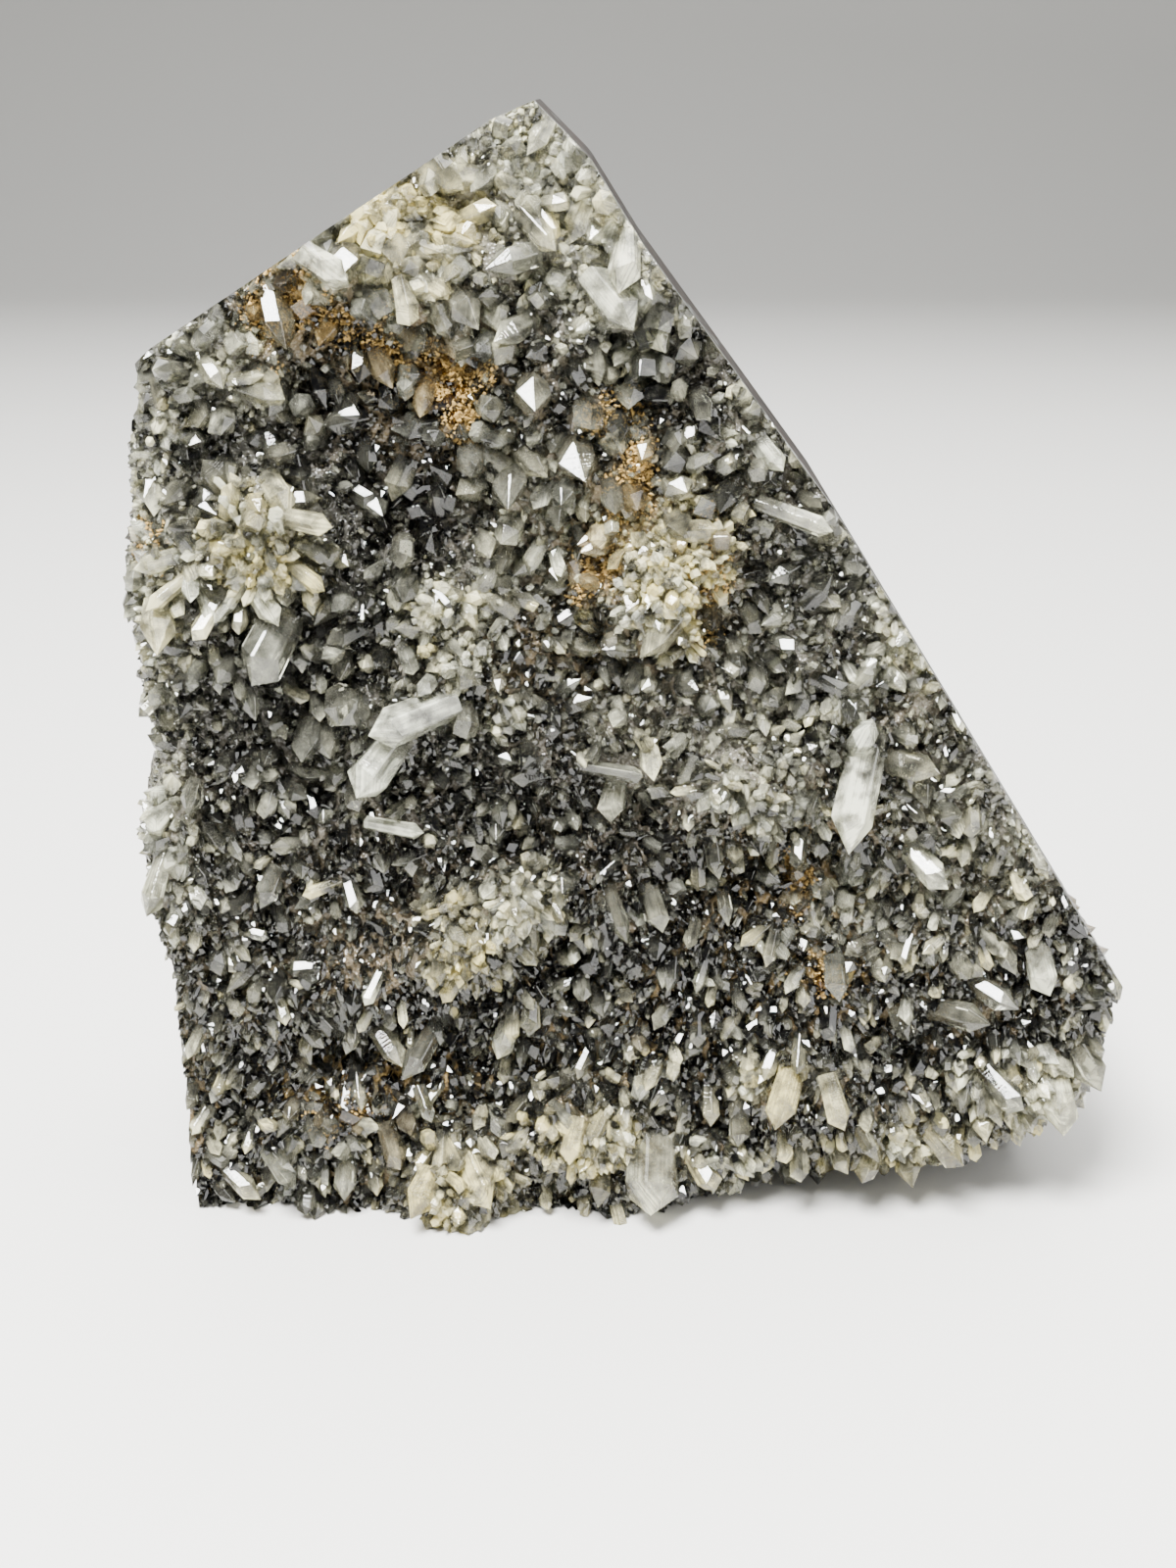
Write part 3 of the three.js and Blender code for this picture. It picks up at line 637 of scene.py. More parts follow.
def quartzArrays(root, axis, radius, length, edge):
    # Six-sided points: a ring at the root, a ring at the shoulder, and the tip. A ring corner is
    # root + height*axis + radius*(cos(turn)*u + flat*sin(turn)*v). With an edge, in radians, every
    # corner is two, so that the prism's edges are narrow faces that catch the light.
    count = len(root)
    u = unit(np.cross(axis, luck.normal(size=(count, 3))))
    v = np.cross(axis, u)
    corner = np.arange(6) if not edge else np.repeat(np.arange(6), 2)
    turn = corner * math.pi / 3 + (0 if not edge else np.tile([-edge, edge], 6))
    sides = len(turn)
    flat = luck.uniform(*quartzTip["flat"], (count, 1, 1))
    ring = np.cos(turn)[None, :, None] * u[:, None] + flat * np.sin(turn)[None, :, None] * v[:, None]
    radius, length = radius[:, None, None], length[:, None, None]
    # Three large faces meet at the tip, so every other corner of the shoulder lies lower
    lag = np.where(np.arange(6) % 2, 1, luck.uniform(*quartzTip["lag"], (count, 1)))
    lag = (lag + luck.normal(0, quartzTip["stray"], (count, 6)))[:, corner, None]
    drop = radius * luck.uniform(*quartzTip["steep"], (count, 1, 1)) * lag
    shoulder = np.maximum(length - drop, quartzTip["leastPrism"] * length)
    rootRing = root[:, None] + ring * radius * luck.uniform(*quartzTip["rootWidth"], (count, 1, 1))
    shoulderRing = root[:, None] + axis[:, None] * shoulder + ring * radius
    lean = ring[:, :1] * radius * luck.uniform(-1, 1, (count, 1, 1)) * quartzTip["lean"]
    tip = root[:, None] + axis[:, None] * length + lean
    vertices = cutBySaw(np.concatenate([rootRing, shoulderRing, tip], 1)).reshape(-1, 3)
    side = np.arange(sides)
    nextSide = (side + 1) % sides
    prism = np.stack([side, nextSide, nextSide + sides, side + sides], -1)
    point = np.stack([side + sides, nextSide + sides, 0 * side + 2 * sides], -1)
    first = np.arange(count)[:, None, None] * (2 * sides + 1)
    faces = (prism[None] + first).reshape(-1, 4).tolist() + (point[None] + first).reshape(-1, 3).tolist()
    faces += (side[::-1][None] + first[:, 0]).tolist()
    along = np.concatenate([0 * shoulder[..., 0], shoulder[..., 0], length[:, :, 0]], 1)
    around = np.concatenate([turn, turn, [math.pi]]) * radius[:, :, 0] + luck.uniform(0, 99, (count, 1))
    return vertices, faces, along, around, along / length[:, :, 0]


def plantQuartz(name, looks, root, axis, radius, length, cloud, yellow, rust, tipCloudAndGlow, edge=0.0):
    # Clear and clouded points of one layer, each kind as one piece. Cloud grows towards a tip, partly milky
    # quartz and partly painted light caught in the tip: cloud + the tip's added cloud * share^1.5, where
    # share is how far up the point it lies. A point that would stand out past the side of the stone is
    # shorter by 1 / (1 + trim * how far past it is)
    axis = unit(axis)
    tip = root + axis * length[:, None]
    left, right = limits(np.maximum(tip[:, 2], root[:, 2]))
    past = np.maximum(np.maximum(left - tip[:, 0], tip[:, 0] - right), 0)
    shorter = 1 / (1 + quartzTip["trim"] * past)
    length, radius = length * shorter, radius * shorter ** 0.5
    for kind, pick in (("clear", cloud < 0.5), ("milky", cloud >= 0.5)):
        if not pick.any():
            continue
        vertices, faces, along, around, share = quartzArrays(
            root[pick], axis[pick], radius[pick], length[pick], edge)
        whole = np.ones(share.shape)
        attributes = dict(
            along=along,
            around=around,
            cloud=np.clip(cloud[pick, None] + tipCloudAndGlow[pick, None] * share ** 1.5, 0, 1),
            yellow=np.clip(yellow[pick, None], 0, 1) * whole,
            rust=np.clip(rust[pick, None], 0, 1) * whole,
        )
        material, slot = looks[kind]
        piece = setMesh(name + "_" + kind, vertices, faces, attributes, [material])
        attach(piece, "root")
        print(piece.name + ":", pick.sum(), "points", len(faces), "faces")


def pointDirections(normal, hang, stray):
    # Outwards along the surface, strayed at random, and hanging down where the crust hangs
    down = np.array([0, 0, -1.0])
    return unit(normal + stray * luck.normal(size=normal.shape) + hang[:, None] * down)


tintChances = dict(milkAndShade=(0.1, 1.1), hollow=0.8, yellow=(0.3, 0.18), rustFrom=(0.2, 1.2), rustMost=0.8)


def tints(x, z, spread):
    # Cloud, yellow and rust of points at these places. Outside the patches most points are clear:
    # cloud = patch * (0.1 to 1.1) + spread * (an exponential chance - 1)
    count = len(x)
    # Milky patches; their negative rows make points in hollows clearer and darker: painted shade
    cloud = patchSum(milkyAndShadePatches, x, z) * luck.uniform(*tintChances["milkAndShade"], count)
    # Points in the hollows are drawn less milky, so they look darker: painted shade
    cloud *= 1 - tintChances["hollow"] * np.clip(patchSum(hollowPatches, x, z), 0, 1)
    cloud += spread * (luck.exponential(1, count) - 1)
    yellow = patchSum(yellowPatches, x, z) + luck.normal(*tintChances["yellow"], count)
    rust = patchSum(rustPatches, x, z) + patchSum(stainPatches, x, z)
    rust = np.clip(rust - luck.uniform(*tintChances["rustFrom"], count), 0, tintChances["rustMost"])
    return np.clip(cloud, 0, 1), yellow, rust


# The largest points, nearly all as the solid has them: root x and z, tip x and z, width
largePoints = np.array([
    (-13.5, 57, -21.5, 55, 4.2), (-18.5, 54, -23, 49, 4.4), (28, 52, 25.5, 43, 4.2),
    (27, 52.5, 27.6, 55.5, 3.2), (-1, 50.5, 5.5, 50.5, 2.2), (6, 52.5, 6.6, 49.5, 2.6),
    (3, 48.5, 2, 45, 3), (2, 37.5, 4, 32.5, 2.4), (6, 37.5, 7.5, 33, 2.5),
    (-22.5, 44, -16.5, 44, 1.8), (-32, 39, -33.5, 35.5, 2.5), (-34.5, 28.5, -37.5, 26, 2.5),
    (-34.5, 58, -33, 55.5, 2.4), (-30, 76, -24.5, 75.5, 2.5), (-39.5, 72, -44, 71, 2),
    (-39, 70, -43, 67, 2), (-35, 76, -34, 79.5, 2), (-33, 69, -30, 65.5, 2.4),
    (-36, 68, -38.5, 64, 2), (-29, 71, -25.5, 69, 2), (-29.8, 66, -33, 60, 4.8),
    (-42.5, 67, -42, 62.5, 4), (-6.5, 104.5, -3, 101, 2.4), (-17.5, 98, -16.5, 94.5, 3),
    (-5, 100.5, -9.5, 99.5, 3), (-15.5, 88.5, -16, 85.5, 2.6), (4, 102, 3, 97.5, 3.6),
    (0.5, 98.5, 4.5, 94, 4), (-30, 97, -28.5, 92, 3.6), (-26.5, 100.5, -22, 98.5, 4),
    (-13, 97, -10, 94, 3.2), (16, 83.5, 20, 78.5, 3), (16.5, 77, 23.5, 75, 2.2),
    (8, 74, 12.5, 75, 2.6), (9, 66, 5, 62.5, 3), (25.5, 29.5, 26, 25.5, 2.6),
    (46.5, 30.5, 47.5, 26, 3), (36, 23.5, 41.5, 23.5, 3.5), (40, 26.5, 44.5, 24.5, 2.6),
    (32, 24, 33.5, 20.5, 2.5), (33, 41, 36.5, 38, 3), (30, 51, 35, 50.5, 3),
    (42.5, 31, 44.5, 28, 2.2), (49.5, 16, 50, 10.5, 4.2), (51.5, 19, 54, 15, 3.4),
    (41.5, 17, 45.5, 13.5, 3), (36, 10, 39.5, 7, 3.2), (31, 8, 29, 4.8, 3),
    (34, 7, 34.5, 3.6, 2.8), (28.5, 11, 30.5, 8, 2.2), (13, 14.5, 13, 11, 2.2),
    (16, 13, 16, 9, 2.2), (21.5, 16.5, 19.5, 12, 4), (25, 17, 26.5, 12, 2.6),
    (22.5, 8.5, 22.5, 4.8, 2.6), (26, 9, 27.5, 5.5, 2.2), (7, 8, 6.6, 2.8, 6),
    (11, 7, 13.5, 4, 2.6), (1.5, 6.5, 1, 2.6, 2.8), (-1, 12, -2, 8.5, 3),
    (-26, 6.5, -26, 2.4, 3), (-34.5, 8, -31, 4.5, 2.6), (-21.5, 10, -20, 6, 2.6),
    (-8, 22, -9.5, 18.5, 2.6), (-6, 24, -6, 21, 2.2), (-23, 21, -19.5, 17, 2.6),
    (-16.5, 20, -19.5, 15.5, 3), (-18, 14, -16.5, 11, 2.2), (-13, 7, -10.5, 3, 4),
    (-16.5, 6, -18.5, 2.4, 3.6), (-39.5, 5, -35, 2.4, 2.6), (-43, 41, -44.4, 36, 3.4),
], float)
# Clear stubby points that face the viewer, low enough for the solid to do without
facingPoints = np.array([
    (-22.6, 100.8, -22.4, 99, 3.3), (-5.4, 88.6, -5.2, 86.4, 3.9), (-0.2, 86.6, 0.2, 84.6, 3.4),
    (-7.8, 79.4, -7.4, 77, 4.1), (-11.6, 82, -11.2, 80, 3.3), (-1.2, 82.2, -0.6, 79.8, 4.1),
    (3.8, 88.4, 4, 86.2, 3), (-3.2, 76.8, -3, 74.4, 2.6), (-24.6, 57.5, -24.2, 55.4, 3.8),
    (-28, 54, -28.4, 51.4, 3.6), (-26.6, 53.6, -26, 51.4, 2.8), (-24, 61.6, -24.6, 59.4, 2.5),
    (-12.4, 56.5, -12, 54, 2.8), (-18, 73.6, -18.2, 71, 2.5), (-8.4, 72.6, -8.6, 70.2, 2.3),
    (2.2, 79, 2.6, 76.4, 2.6), (12.5, 93, 12.8, 90.6, 2.5), (-30, 88, -30.4, 85.4, 2.6),
    (-37, 86.6, -37.4, 84.4, 2.3), (16.8, 60.6, 17, 58.2, 2.5), (33.6, 49, 34, 46.4, 2.5),
    (-6, 23.8, -6.2, 21.4, 2.3), (-39.6, 48.6, -40, 46, 2.8), (14, 36, 14.4, 33.4, 2.3),
], float)
largest = np.concatenate([largePoints, facingPoints])


def covered(x, z, margin):
    # True where a place lies under one of the largest points: nearer to the line from its root to
    # its tip than margin * its width
    rootX, rootZ, tipX, tipZ, width = largest.T[:, :, None]
    alongX, alongZ = tipX - rootX, tipZ - rootZ
    t = ((x - rootX) * alongX + (z - rootZ) * alongZ) / (alongX ** 2 + alongZ ** 2)
    t = np.clip(t, 0.1, 0.9)
    away = np.hypot(x - rootX - t * alongX, z - rootZ - t * alongZ)
    return (away < margin * width).any(0)


def growPoints(layer, place, normal, low, wider=1.0, longer=1.0):
    # What every layer of single points shares: direction, size and tint. Where low is 1 they hang the
    # most; a length is its own chance * longer * (radius / middling)^slimmer
    hang = layer["hang"] + layer["hangMore"] * low
    axis = pointDirections(layer["outward"] * normal, hang, layer["stray"])
    radius = luck.uniform(*layer["radius"], len(place)) * wider
    length = luck.uniform(*layer["length"], len(place)) * longer
    length *= (radius / layer["middling"]) ** layer["slimmer"]
    cloud, yellow, rust = tints(*drifted(place), layer["spread"])
    tipCloudAndGlow = luck.uniform(*layer["tipCloudAndGlow"], len(place))
    return place - axis * layer["sunk"], axis, radius, length, cloud, yellow, rust, tipCloudAndGlow


# Fine druse over all that grew, a little coarser towards the foot
fineDruse = dict(spacing=0.8, tries=90000, radius=(0.24, 0.58), length=(1.1, 2.1), stray=0.42, sunk=0.6,
                 clearOf=0.3, outward=1.0, hang=0.2, hangMore=0.7, hangFrom=(18, 70), middling=1.0,
                 slimmer=0.0, coarser=0.2, coarserFrom=(15, 50), finer=0.35, spread=0.06, cloudBelow=0.4,
                 tipCloudAndGlow=(-0.3, 0.3), bands=(-5, 15, 30, 50, 75, 120))


def buildFineDruse(vertices, grown, looks):
    place, normal = spreadPlaces(vertices, grown, fineDruse["tries"], fineDruse["spacing"])
    keep = ~covered(place[:, 0], place[:, 2], fineDruse["clearOf"])
    place, normal = place[keep], normal[keep]
    x, z = place[:, 0], place[:, 2]
    above = smoothStep(*fineDruse["coarserFrom"], z)
    coarse = 1 + fineDruse["coarser"] * (1 - above)
    coarse -= fineDruse["finer"] * np.clip(patchSum(barePatches, x, z), 0, 1)
    low = 1 - smoothStep(*fineDruse["hangFrom"], z)
    root, axis, radius, length, cloud, yellow, rust, tipCloudAndGlow = growPoints(
        fineDruse, place, normal, low, coarse, coarse)
    cloud *= fineDruse["cloudBelow"] + (1 - fineDruse["cloudBelow"]) * above
    every = (root, axis, radius, length, cloud, yellow, rust, tipCloudAndGlow)
    for band, (bottom, top) in enumerate(zip(fineDruse["bands"][:-1], fineDruse["bands"][1:])):
        part = (z > bottom) & (z <= top)
        plantQuartz("fine_druse_" + str(band), looks, *(values[part] for values in every))


# Middling clear points all over, standing a little above the fine druse
clearPoints = dict(spacing=2.1, tries=20000, radius=(0.55, 1.15), length=(2.4, 4.2), stray=0.5, sunk=0.9,
                   share=0.62, fewerBelow=0.3, fewerFrom=(30, 55), fewerBare=0.7, clearOf=0.5, outward=1.0,
                   hang=0.3, hangMore=0.7, hangFrom=(15, 60), widerAbove=0.35, widerFrom=(55, 80),
                   middling=0.8, slimmer=0.4, spread=0.08, tipCloudAndGlow=(-0.1, 0.5), cloud=0.7)


def buildClearPoints(vertices, grown, looks):
    place, normal = spreadPlaces(vertices, grown, clearPoints["tries"], clearPoints["spacing"])
    bare = np.clip(patchSum(barePatches, place[:, 0], place[:, 2]), 0, 1)
    below = 1 - smoothStep(*clearPoints["fewerFrom"], place[:, 2])
    share = clearPoints["share"] * (1 - clearPoints["fewerBelow"] * below)
    keep = luck.random(len(place)) < share * (1 - clearPoints["fewerBare"] * bare)
    keep &= ~covered(place[:, 0], place[:, 2], clearPoints["clearOf"])
    place, normal = place[keep], normal[keep]
    low = 1 - smoothStep(*clearPoints["hangFrom"], place[:, 2])
    wider = 1 + clearPoints["widerAbove"] * smoothStep(*clearPoints["widerFrom"], place[:, 2])
    root, axis, radius, length, cloud, yellow, rust, tipCloudAndGlow = growPoints(
        clearPoints, place, normal, low, wider)
    plantQuartz("clear_points", looks, root, axis, radius, length, clearPoints["cloud"] * cloud, yellow,
                rust, tipCloudAndGlow, bevel)


# Hanging points with clear roots and white to cream tips, partly milky and partly painted light, like grains
# of rice, crowding towards the foot
ricePoints = dict(spacing=2.1, tries=20000, radius=(0.42, 0.95), length=(2.7, 5.2), stray=0.48, sunk=1.0,
                  shareAbove=0.1, shareBelow=0.8, lowFrom=22, lowTo=66, slant=0.4, middleX=30, gap=0.9,
                  gapFrom=(-0.5, 0.4), fewerHollow=0.85, fewerBare=0.8, clearOf=0.55, outward=0.8, hang=0.35,
                  hangMore=0.75, middling=0.85, slimmer=0.5, spread=0.1, tipCloudAndGlow=(0.15, 1.1),
                  leastCloud=0.04, cloud=0.4, yellow=0.2)
# The clumps that they stand in, and the dark gaps between: waves as above
clumps = np.array([(0.5, 0.25, 0.5, 0.4), (-0.32, 0.75, 0.5, 1.7), (0.15, -0.9, 0.45, 3.9)], float)


def buildRicePoints(vertices, grown, looks):
    place, normal = spreadPlaces(vertices, grown, ricePoints["tries"], ricePoints["spacing"])
    x, z = place[:, 0], place[:, 2]
    ends = ricePoints["lowTo"] - ricePoints["slant"] * np.abs(x - ricePoints["middleX"])
    low = 1 - smoothStep(ricePoints["lowFrom"], ends, z)
    bare = np.clip(patchSum(barePatches, x, z), 0, 1)
    share = ricePoints["shareAbove"] + (ricePoints["shareBelow"] - ricePoints["shareAbove"]) * low
    crowd = 1 - ricePoints["gap"] * (1 - smoothStep(*ricePoints["gapFrom"], waveSum(clumps, x, z)))
    crowd *= 1 - ricePoints["fewerHollow"] * np.clip(patchSum(hollowPatches, x, z), 0, 1)
    keep = luck.random(len(place)) < share * crowd * (1 - ricePoints["fewerBare"] * bare)
    keep &= ~covered(x, z, ricePoints["clearOf"])
    root, axis, radius, length, cloud, yellow, rust, tipCloudAndGlow = growPoints(
        ricePoints, place[keep], normal[keep], low[keep])
    cloud = ricePoints["leastCloud"] + ricePoints["cloud"] * cloud
    plantQuartz("rice_points", looks, root, axis, radius, length, cloud, yellow + ricePoints["yellow"],
                rust, tipCloudAndGlow, bevel)


# Tufts, each a crowd of small sprays: x, z, reach across, reach up, points, least and most radius,
# least and most length, how far they fan out, how far they hang, cloud, yellow
tufts = np.array([
    (-32.3, 73, 2.2, 2.6, 78, 0.32, 0.81, 1.8, 3.5, 0.8, 0, 0.84, 0.75),
    (-32, 72.5, 3, 3.2, 48, 0.5, 1.0, 3.2, 6, 1.3, 0, 0.56, 0.3),
    (-39.5, 71.5, 2.6, 3.6, 26, 0.47, 1.1, 2.9, 5.3, 1.1, 0.4, 0.34, 0.2),
    (-13.8, 66.5, 2.8, 2, 60, 0.36, 1.1, 1.8, 3.5, 0.4, 0.2, 0.55, 0.4),
    (-13.5, 61.5, 2.2, 2.2, 37, 0.44, 1.2, 1.6, 3.2, 0.5, 0.3, 0.42, 0.4),
    (-12, 56, 2.6, 1.4, 26, 0.41, 1.1, 2, 4, 0.7, 0.2, 0.47, 0.2),
    (8.5, 70.5, 3.4, 5.4, 248, 0.32, 0.81, 1.6, 3.1, 0.25, 0.1, 0.72, 0.75),
    (6.5, 66, 3, 3.4, 75, 0.34, 0.94, 1.8, 3.5, 0.4, 0.2, 0.42, 0.3),
    (-17.4, 104, 5, 2.2, 84, 0.6, 1.6, 1.9, 3.5, 0.4, 0.1, 0.76, 1.05),
    (-16.6, 99.5, 3.4, 2.4, 42, 0.8, 1.9, 1.9, 3.4, 0.5, 0.4, 0.5, 0.5),
    (-25, 100, 3, 2.2, 30, 1.0, 2.2, 1.9, 3.4, 0.5, 0.3, 0.42, 0.2),
    (3.5, 98, 3.6, 3.6, 36, 1, 2.2, 2, 3.8, 0.5, 0.5, 0.38, 0.2),
    (-5, 108.5, 6, 4, 84, 0.6, 1.7, 1.8, 3, 0.4, 0.1, 0.42, 0.3),
    (2, 104, 3, 4, 48, 0.7, 1.9, 1.6, 3.2, 0.5, 0.2, 0.4, 0.2),
    (-13, 31, 2.4, 3.4, 84, 0.32, 0.81, 1.6, 3.1, 0.4, 0.5, 0.5, 1),
    (-7, 36, 3.4, 2.4, 62, 0.41, 1.1, 2, 3.7, 0.8, 0.4, 0.45, 0.45),
    (4, 34.5, 3, 3, 18, 0.54, 1.4, 2, 3.7, 0.9, 0.9, 0.2, 0.2),
    (16, 48, 6, 4, 132, 0.4, 0.9, 1.8, 3, 0.4, 0.3, 0.28, 0.3),
    (31.5, 63, 3, 4, 69, 0.41, 1.1, 1.8, 3.2, 0.5, 0.2, 0.44, 0.3),
    (26, 57, 4, 4, 49, 0.44, 1.2, 1.8, 3.2, 0.5, 0.5, 0.25, 0.2),
    (-13.8, 3, 4.2, 3, 106, 0.47, 1.2, 2.2, 4, 0.9, 0.7, 0.5, 0.8),
    (0, 9.5, 5, 1.8, 106, 0.41, 1.1, 2, 3.3, 0.5, 0.4, 0.65, 0.75),
    (20, 15, 3.6, 2.2, 43, 0.66, 1.7, 2.4, 4, 0.6, 0.8, 0.5, 0.4),
    (35.5, 7, 4.6, 3.2, 96, 0.55, 1.3, 2.2, 3.8, 0.7, 0.8, 0.53, 0.5),
    (44, 15.5, 4, 3, 61, 0.55, 1.3, 2.2, 4, 0.6, 0.6, 0.57, 0.4),
    (50, 13, 3.4, 4, 61, 0.77, 1.8, 2.2, 3.8, 0.7, 0.7, 0.45, 0.3),
    (-29, 8, 6, 3, 52, 0.55, 1.3, 2.2, 3.8, 0.6, 1, 0.25, 0.35),
    (12, 5, 6, 3, 49, 0.66, 1.3, 2.2, 3.8, 0.6, 0.8, 0.34, 0.4),
    (-42, 64, 1.6, 3.4, 38, 0.54, 1.4, 2, 3.5, 0.5, 0.2, 0.35, 0.4),
    (-42.5, 44, 1.6, 5, 38, 0.54, 1.2, 1.8, 3.1, 0.5, 0.2, 0.4, 0.25),
    (-42, 84, 1.6, 3, 43, 0.44, 1.2, 1.6, 2.8, 0.5, 0.1, 0.44, 0.25),
], float)
# Points in one spray and how they part, and how each point's own chance runs
sprays = dict(points=6, spread=0.55, lean=0.5, near=0.6, offset=0.6, farthest=1.25, fan=0.7, leastOut=0.12,
              fromSide=0.3, fromFoot=0.6, sunk=(0.5, 0.3), cloud=0.16, yellow=0.2, tipCloudAndGlow=(-0.2, 0.5),
              clearOf=0.4)


def buildTufts(looks):
    # Each spray stands on the lump it belongs to, and its points part from near one root:
    # direction = outwards + fan*offset - hang*up + the spray's own lean + a stray of each point
    many = np.ceil(tufts[:, 4] / sprays["points"]).astype(int)
    row = np.repeat(np.arange(len(tufts)), many)
    offset = luck.normal(0, sprays["offset"], (2, len(row))).clip(-sprays["farthest"], sprays["farthest"])
    lean = luck.normal(0, sprays["lean"], (len(row), 3))
    spray = np.repeat(np.arange(len(row)), sprays["points"])
    t = tufts[row[spray]].T
    count = len(spray)
    near = luck.normal(0, sprays["near"], (2, count))
    x = t[0] + offset[0][spray] * t[2] + near[0]
    z = t[1] + offset[1][spray] * t[3] + near[1]
    left, right = limits(z)
    x = np.clip(x, left + sprays["fromSide"], right - sprays["fromSide"])
    z = np.maximum(z, underside(x, stone["frontFace"]) + sprays["fromFoot"])
    fan = sprays["fan"] * (offset[:, spray] * t[9] + near)
    outward = np.stack([fan[0], -np.ones(count), fan[1] - t[10]], -1) + lean[spray]
    axis = unit(outward + sprays["spread"] * luck.normal(size=outward.shape))
    axis[:, 1] = -np.maximum(-axis[:, 1], sprays["leastOut"])
    radius = t[5] + (t[6] - t[5]) * luck.random(count) ** 1.5
    length = t[7] + (t[8] - t[7]) * luck.random(count)
    sunk = sprays["sunk"][0] + sprays["sunk"][1] * length
    root = np.stack([x, frontLevel(x, z) + sunk, z], -1)
    cloud = np.clip(t[11] + luck.normal(0, sprays["cloud"], count), 0, 1)
    yellow = t[12] + luck.normal(0, sprays["yellow"], count)
    tipCloudAndGlow = luck.uniform(*sprays["tipCloudAndGlow"], count)
    keep = ~covered(x, z, sprays["clearOf"])
    every = (root, axis, radius, length, cloud, yellow, 0 * cloud, tipCloudAndGlow)
    plantQuartz("tufts", looks, *(values[keep] for values in every))


# The few that stand out: row, cloud at the root, cloud and painted light added at the tip, yellow
heroPoints = np.array([(0, 0.35, 0.4, 0.0), (1, 0.2, 0.45, 0.0), (2, 0.6, 0.4, 0.0), (3, 0.25, 0.4, 0.0),
                       (9, 0.4, 0.4, 0.0), (13, 0.25, 0.4, 0.6), (20, 0.12, 0.25, 0.1), (36, 0.2, 0.9, 0.1),
                       (43, 0.45, 0.3, 0.3), (56, 0.2, 0.4, 0.3)])


large = dict(rise=(0.7, 0.4), sunk=0.45, spread=0.1, cloud=(0.12, 0.6), tipCloudAndGlow=(0.05, 0.55),
             facingCloud=0.08, facingTip=0.2, bevel=0.06)


def buildLargePoints(looks):
    # Each goes from its root to its tip; the tip stands out by the larger of a share of the width
    # and a share of the reach
    rootX, rootZ, tipX, tipZ, width = largest.T
    reach = np.hypot(tipX - rootX, tipZ - rootZ)
    rise = np.maximum(width * large["rise"][0], reach * large["rise"][1])
    level = np.minimum(frontLevel(rootX, rootZ), frontLevel(tipX, tipZ))
    root = np.stack([rootX, level + width * large["sunk"], rootZ], -1)
    tip = np.stack([tipX, level - rise, tipZ], -1)
    cloud, yellow, rust = tints(rootX, rootZ, large["spread"])
    cloud = np.clip(cloud, *large["cloud"])
    tipCloudAndGlow = luck.uniform(*large["tipCloudAndGlow"], len(rootX))
    cloud[len(largePoints):] = large["facingCloud"]
    tipCloudAndGlow[len(largePoints):] = large["facingTip"]
    hero = heroPoints[:, 0].astype(int)
    cloud[hero], tipCloudAndGlow[hero], yellow[hero] = heroPoints[:, 1:].T
    plantQuartz("large_points", looks, root, tip - root, width / 2, np.linalg.norm(tip - root, axis=1),
                cloud, yellow, rust, tipCloudAndGlow, large["bevel"])


# Rusty crumbs between the points, where iron weathered
crumbs = dict(count=8000, size=(0.07, 0.23), clumps=16, clumpOff=0.75, stray=0.6, fromSide=0.4,
              deep=(0.0, 1.2), swell=(0.6, 1.3), crook=0.25)


def buildCrumbs(material):
    share = rustPatches[:, 2] * rustPatches[:, 3] * rustPatches[:, 4]
    row = luck.choice(len(rustPatches), crumbs["count"], p=share / share.sum())
    patch = rustPatches[row]
    clump = luck.integers(0, crumbs["clumps"], len(row)) + crumbs["clumps"] * row
    clumpOff = luck.normal(0, crumbs["clumpOff"], (crumbs["clumps"] * len(rustPatches), 2))[clump]
    x = patch[:, 0] + clumpOff[:, 0] * patch[:, 2] + luck.normal(0, crumbs["stray"], len(row))
    z = patch[:, 1] + clumpOff[:, 1] * patch[:, 3] + luck.normal(0, crumbs["stray"], len(row))
    left, right = limits(z)
    x = np.clip(x, left + crumbs["fromSide"], right - crumbs["fromSide"])
    y = frontLevel(x, z) + luck.uniform(*crumbs["deep"], len(row))
    # An eight-sided lump: its six corners lie out along the axes, each pushed in or out at random
    corners = np.array([(1, 0, 0), (0, 1, 0), (-1, 0, 0), (0, -1, 0), (0, 0, 1), (0, 0, -1)], float)
    size = luck.uniform(*crumbs["size"], (len(row), 1, 1))
    lump = corners[None] * size * luck.uniform(*crumbs["swell"], (len(row), 6, 1))
    lump = lump + luck.normal(0, crumbs["crook"], (len(row), 6, 3)) * size
    vertices = (np.stack([x, y, z], -1)[:, None] + lump).reshape(-1, 3)
    pattern = np.array([(0, 1, 4), (1, 2, 4), (2, 3, 4), (3, 0, 4),
                        (1, 0, 5), (2, 1, 5), (3, 2, 5), (0, 3, 5)])
    faces = (pattern[None] + 6 * np.arange(len(row))[:, None, None]).reshape(-1, 3).tolist()
    piece = setMesh("limonite_crumbs", cutBySaw(vertices), faces, {}, [material])
    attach(piece, "root")
    print("crumbs:", len(row))


# A plain pale floor that sweeps up behind the stone, in metres, and three soft lamps: name, place,
# watts, size. The key is the smallest, so that single crystal faces flash
studio = dict(floor="#bdbcb8", roughness=0.7, reach=1.6, half=2.56, bendFrom=1.0, bend=0.7, bendSteps=24,
              wall=2.2, world=0.22, air=(0.98, 1.0, 0.99, 1), aim=(0, 0, 0.05), bounces=9, dullBounces=3)
lamps = (("key_light", (-0.15, -0.3, 0.62), 38, 0.3), ("top_light", (0.08, 0.22, 0.62), 17, 0.9),
         ("fill_light", (0.65, -0.45, 0.35), 8, 0.7))


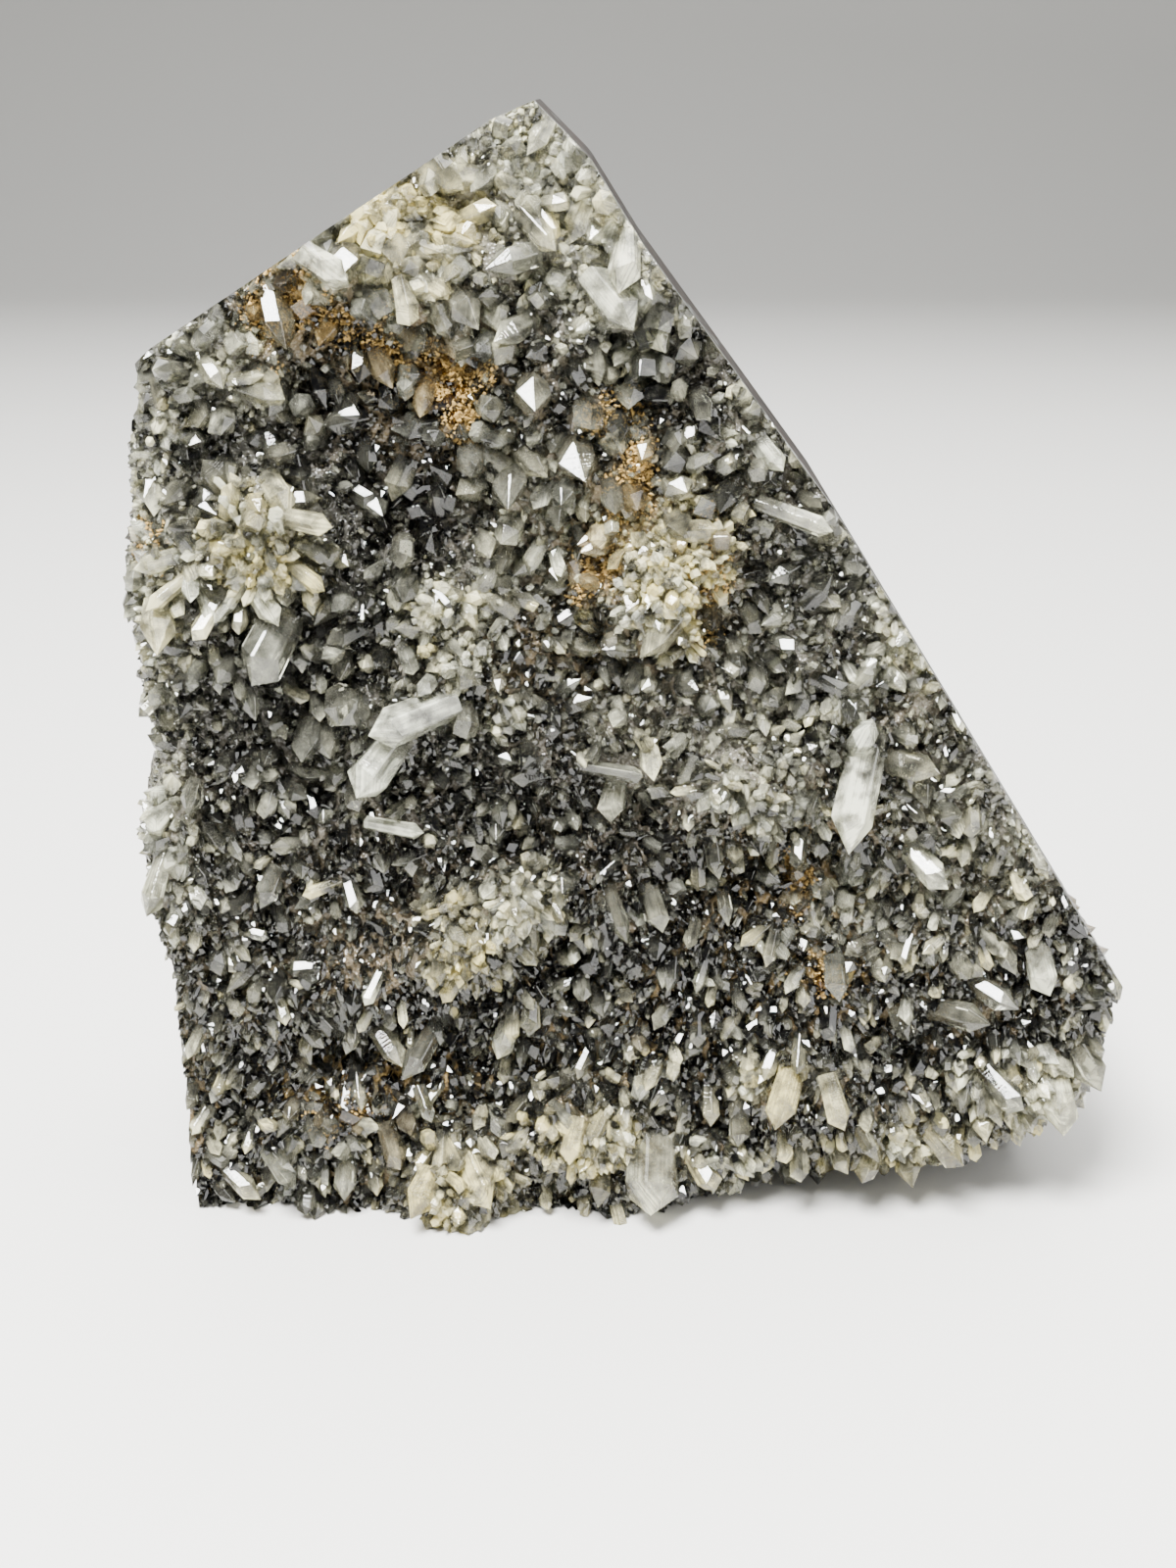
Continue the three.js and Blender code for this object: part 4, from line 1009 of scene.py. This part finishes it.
def buildStudio():
    material, tree = newMaterial("studio_floor_matte_paint")
    shader = addNode(tree, "ShaderNodeBsdfPrincipled", {
        "Base Color": fromHex(studio["floor"]), "Roughness": studio["roughness"]})
    addNode(tree, "ShaderNodeOutputMaterial", {"Surface": shader.outputs[0]})
    # Profile carried along x: flat floor, a quarter turn, then straight up
    turn = np.linspace(0, math.pi / 2, studio["bendSteps"])
    wallAt = studio["bendFrom"] + studio["bend"]
    bendY = studio["bendFrom"] + studio["bend"] * np.sin(turn)
    profileY = np.concatenate([[-studio["reach"]], bendY, [wallAt]])
    profileZ = np.concatenate([[0], studio["bend"] * (1 - np.cos(turn)), [studio["wall"]]])
    x = np.array([-studio["half"], studio["half"]])
    grid = np.stack(np.broadcast_arrays(x[None, :], profileY[:, None], profileZ[:, None]), -1).reshape(-1, 3)
    first = np.arange(len(profileY) - 1) * 2
    faces = np.stack([first, first + 1, first + 3, first + 2], -1).tolist()
    floor = setMesh("floor", grid / mm, faces, {}, [material])
    floor.data.polygons.foreach_set("use_smooth", [True] * len(faces))
    world = bpy.data.worlds.new("studio_air")
    world.use_nodes = True
    background = world.node_tree.nodes["Background"]
    background.inputs["Color"].default_value = studio["air"]
    background.inputs["Strength"].default_value = studio["world"]
    bpy.context.scene.world = world
    # Light goes on through a good many faces in the crowd of clear points, and little matters after that
    paths = bpy.context.scene.cycles
    paths.max_bounces = studio["bounces"]
    paths.transmission_bounces = studio["bounces"]
    paths.diffuse_bounces = studio["dullBounces"]
    paths.glossy_bounces = studio["dullBounces"]
    for name, place, power, size in lamps:
        lamp = bpy.data.lights.new(name, "AREA")
        lamp.energy = power
        lamp.size = size
        holder = bpy.data.objects.new(name, lamp)
        holder.location = place
        target = np.array(studio["aim"]) - np.array(place)
        holder.rotation_euler = (math.atan2(math.hypot(target[0], target[1]), -target[2]), 0,
                                 math.atan2(target[1], target[0]) - math.pi / 2)
        bpy.context.scene.collection.objects.link(holder)


# Camera as the picture was taken: a little above the peak, looking 18 degrees down
view = dict(place=(0, -0.227, 0.1164), down=18, lens=50, sensor=36, nearest=0.01)


def buildCamera():
    lens = bpy.data.cameras.new("camera")
    lens.lens = view["lens"]
    lens.sensor_width = view["sensor"]
    lens.clip_start = view["nearest"]
    camera = bpy.data.objects.new("camera", lens)
    camera.location = view["place"]
    camera.rotation_euler = (math.radians(90 - view["down"]), 0, 0)
    bpy.context.scene.collection.objects.link(camera)
    bpy.context.scene.camera = camera


buildCamera()
buildStudio()
looks = dict(clear=(makeQuartz(clearQuartz), "quartz"), milky=(makeQuartz(milkyQuartz), "milky_quartz"))
slabVertices, grownQuads = buildSlab([makeCrust(), makeSawnFace()])
buildFineDruse(slabVertices, grownQuads, looks)
buildClearPoints(slabVertices, grownQuads, looks)
buildRicePoints(slabVertices, grownQuads, looks)
buildTufts(looks)
buildLargePoints(looks)
buildCrumbs(makeLimonite())
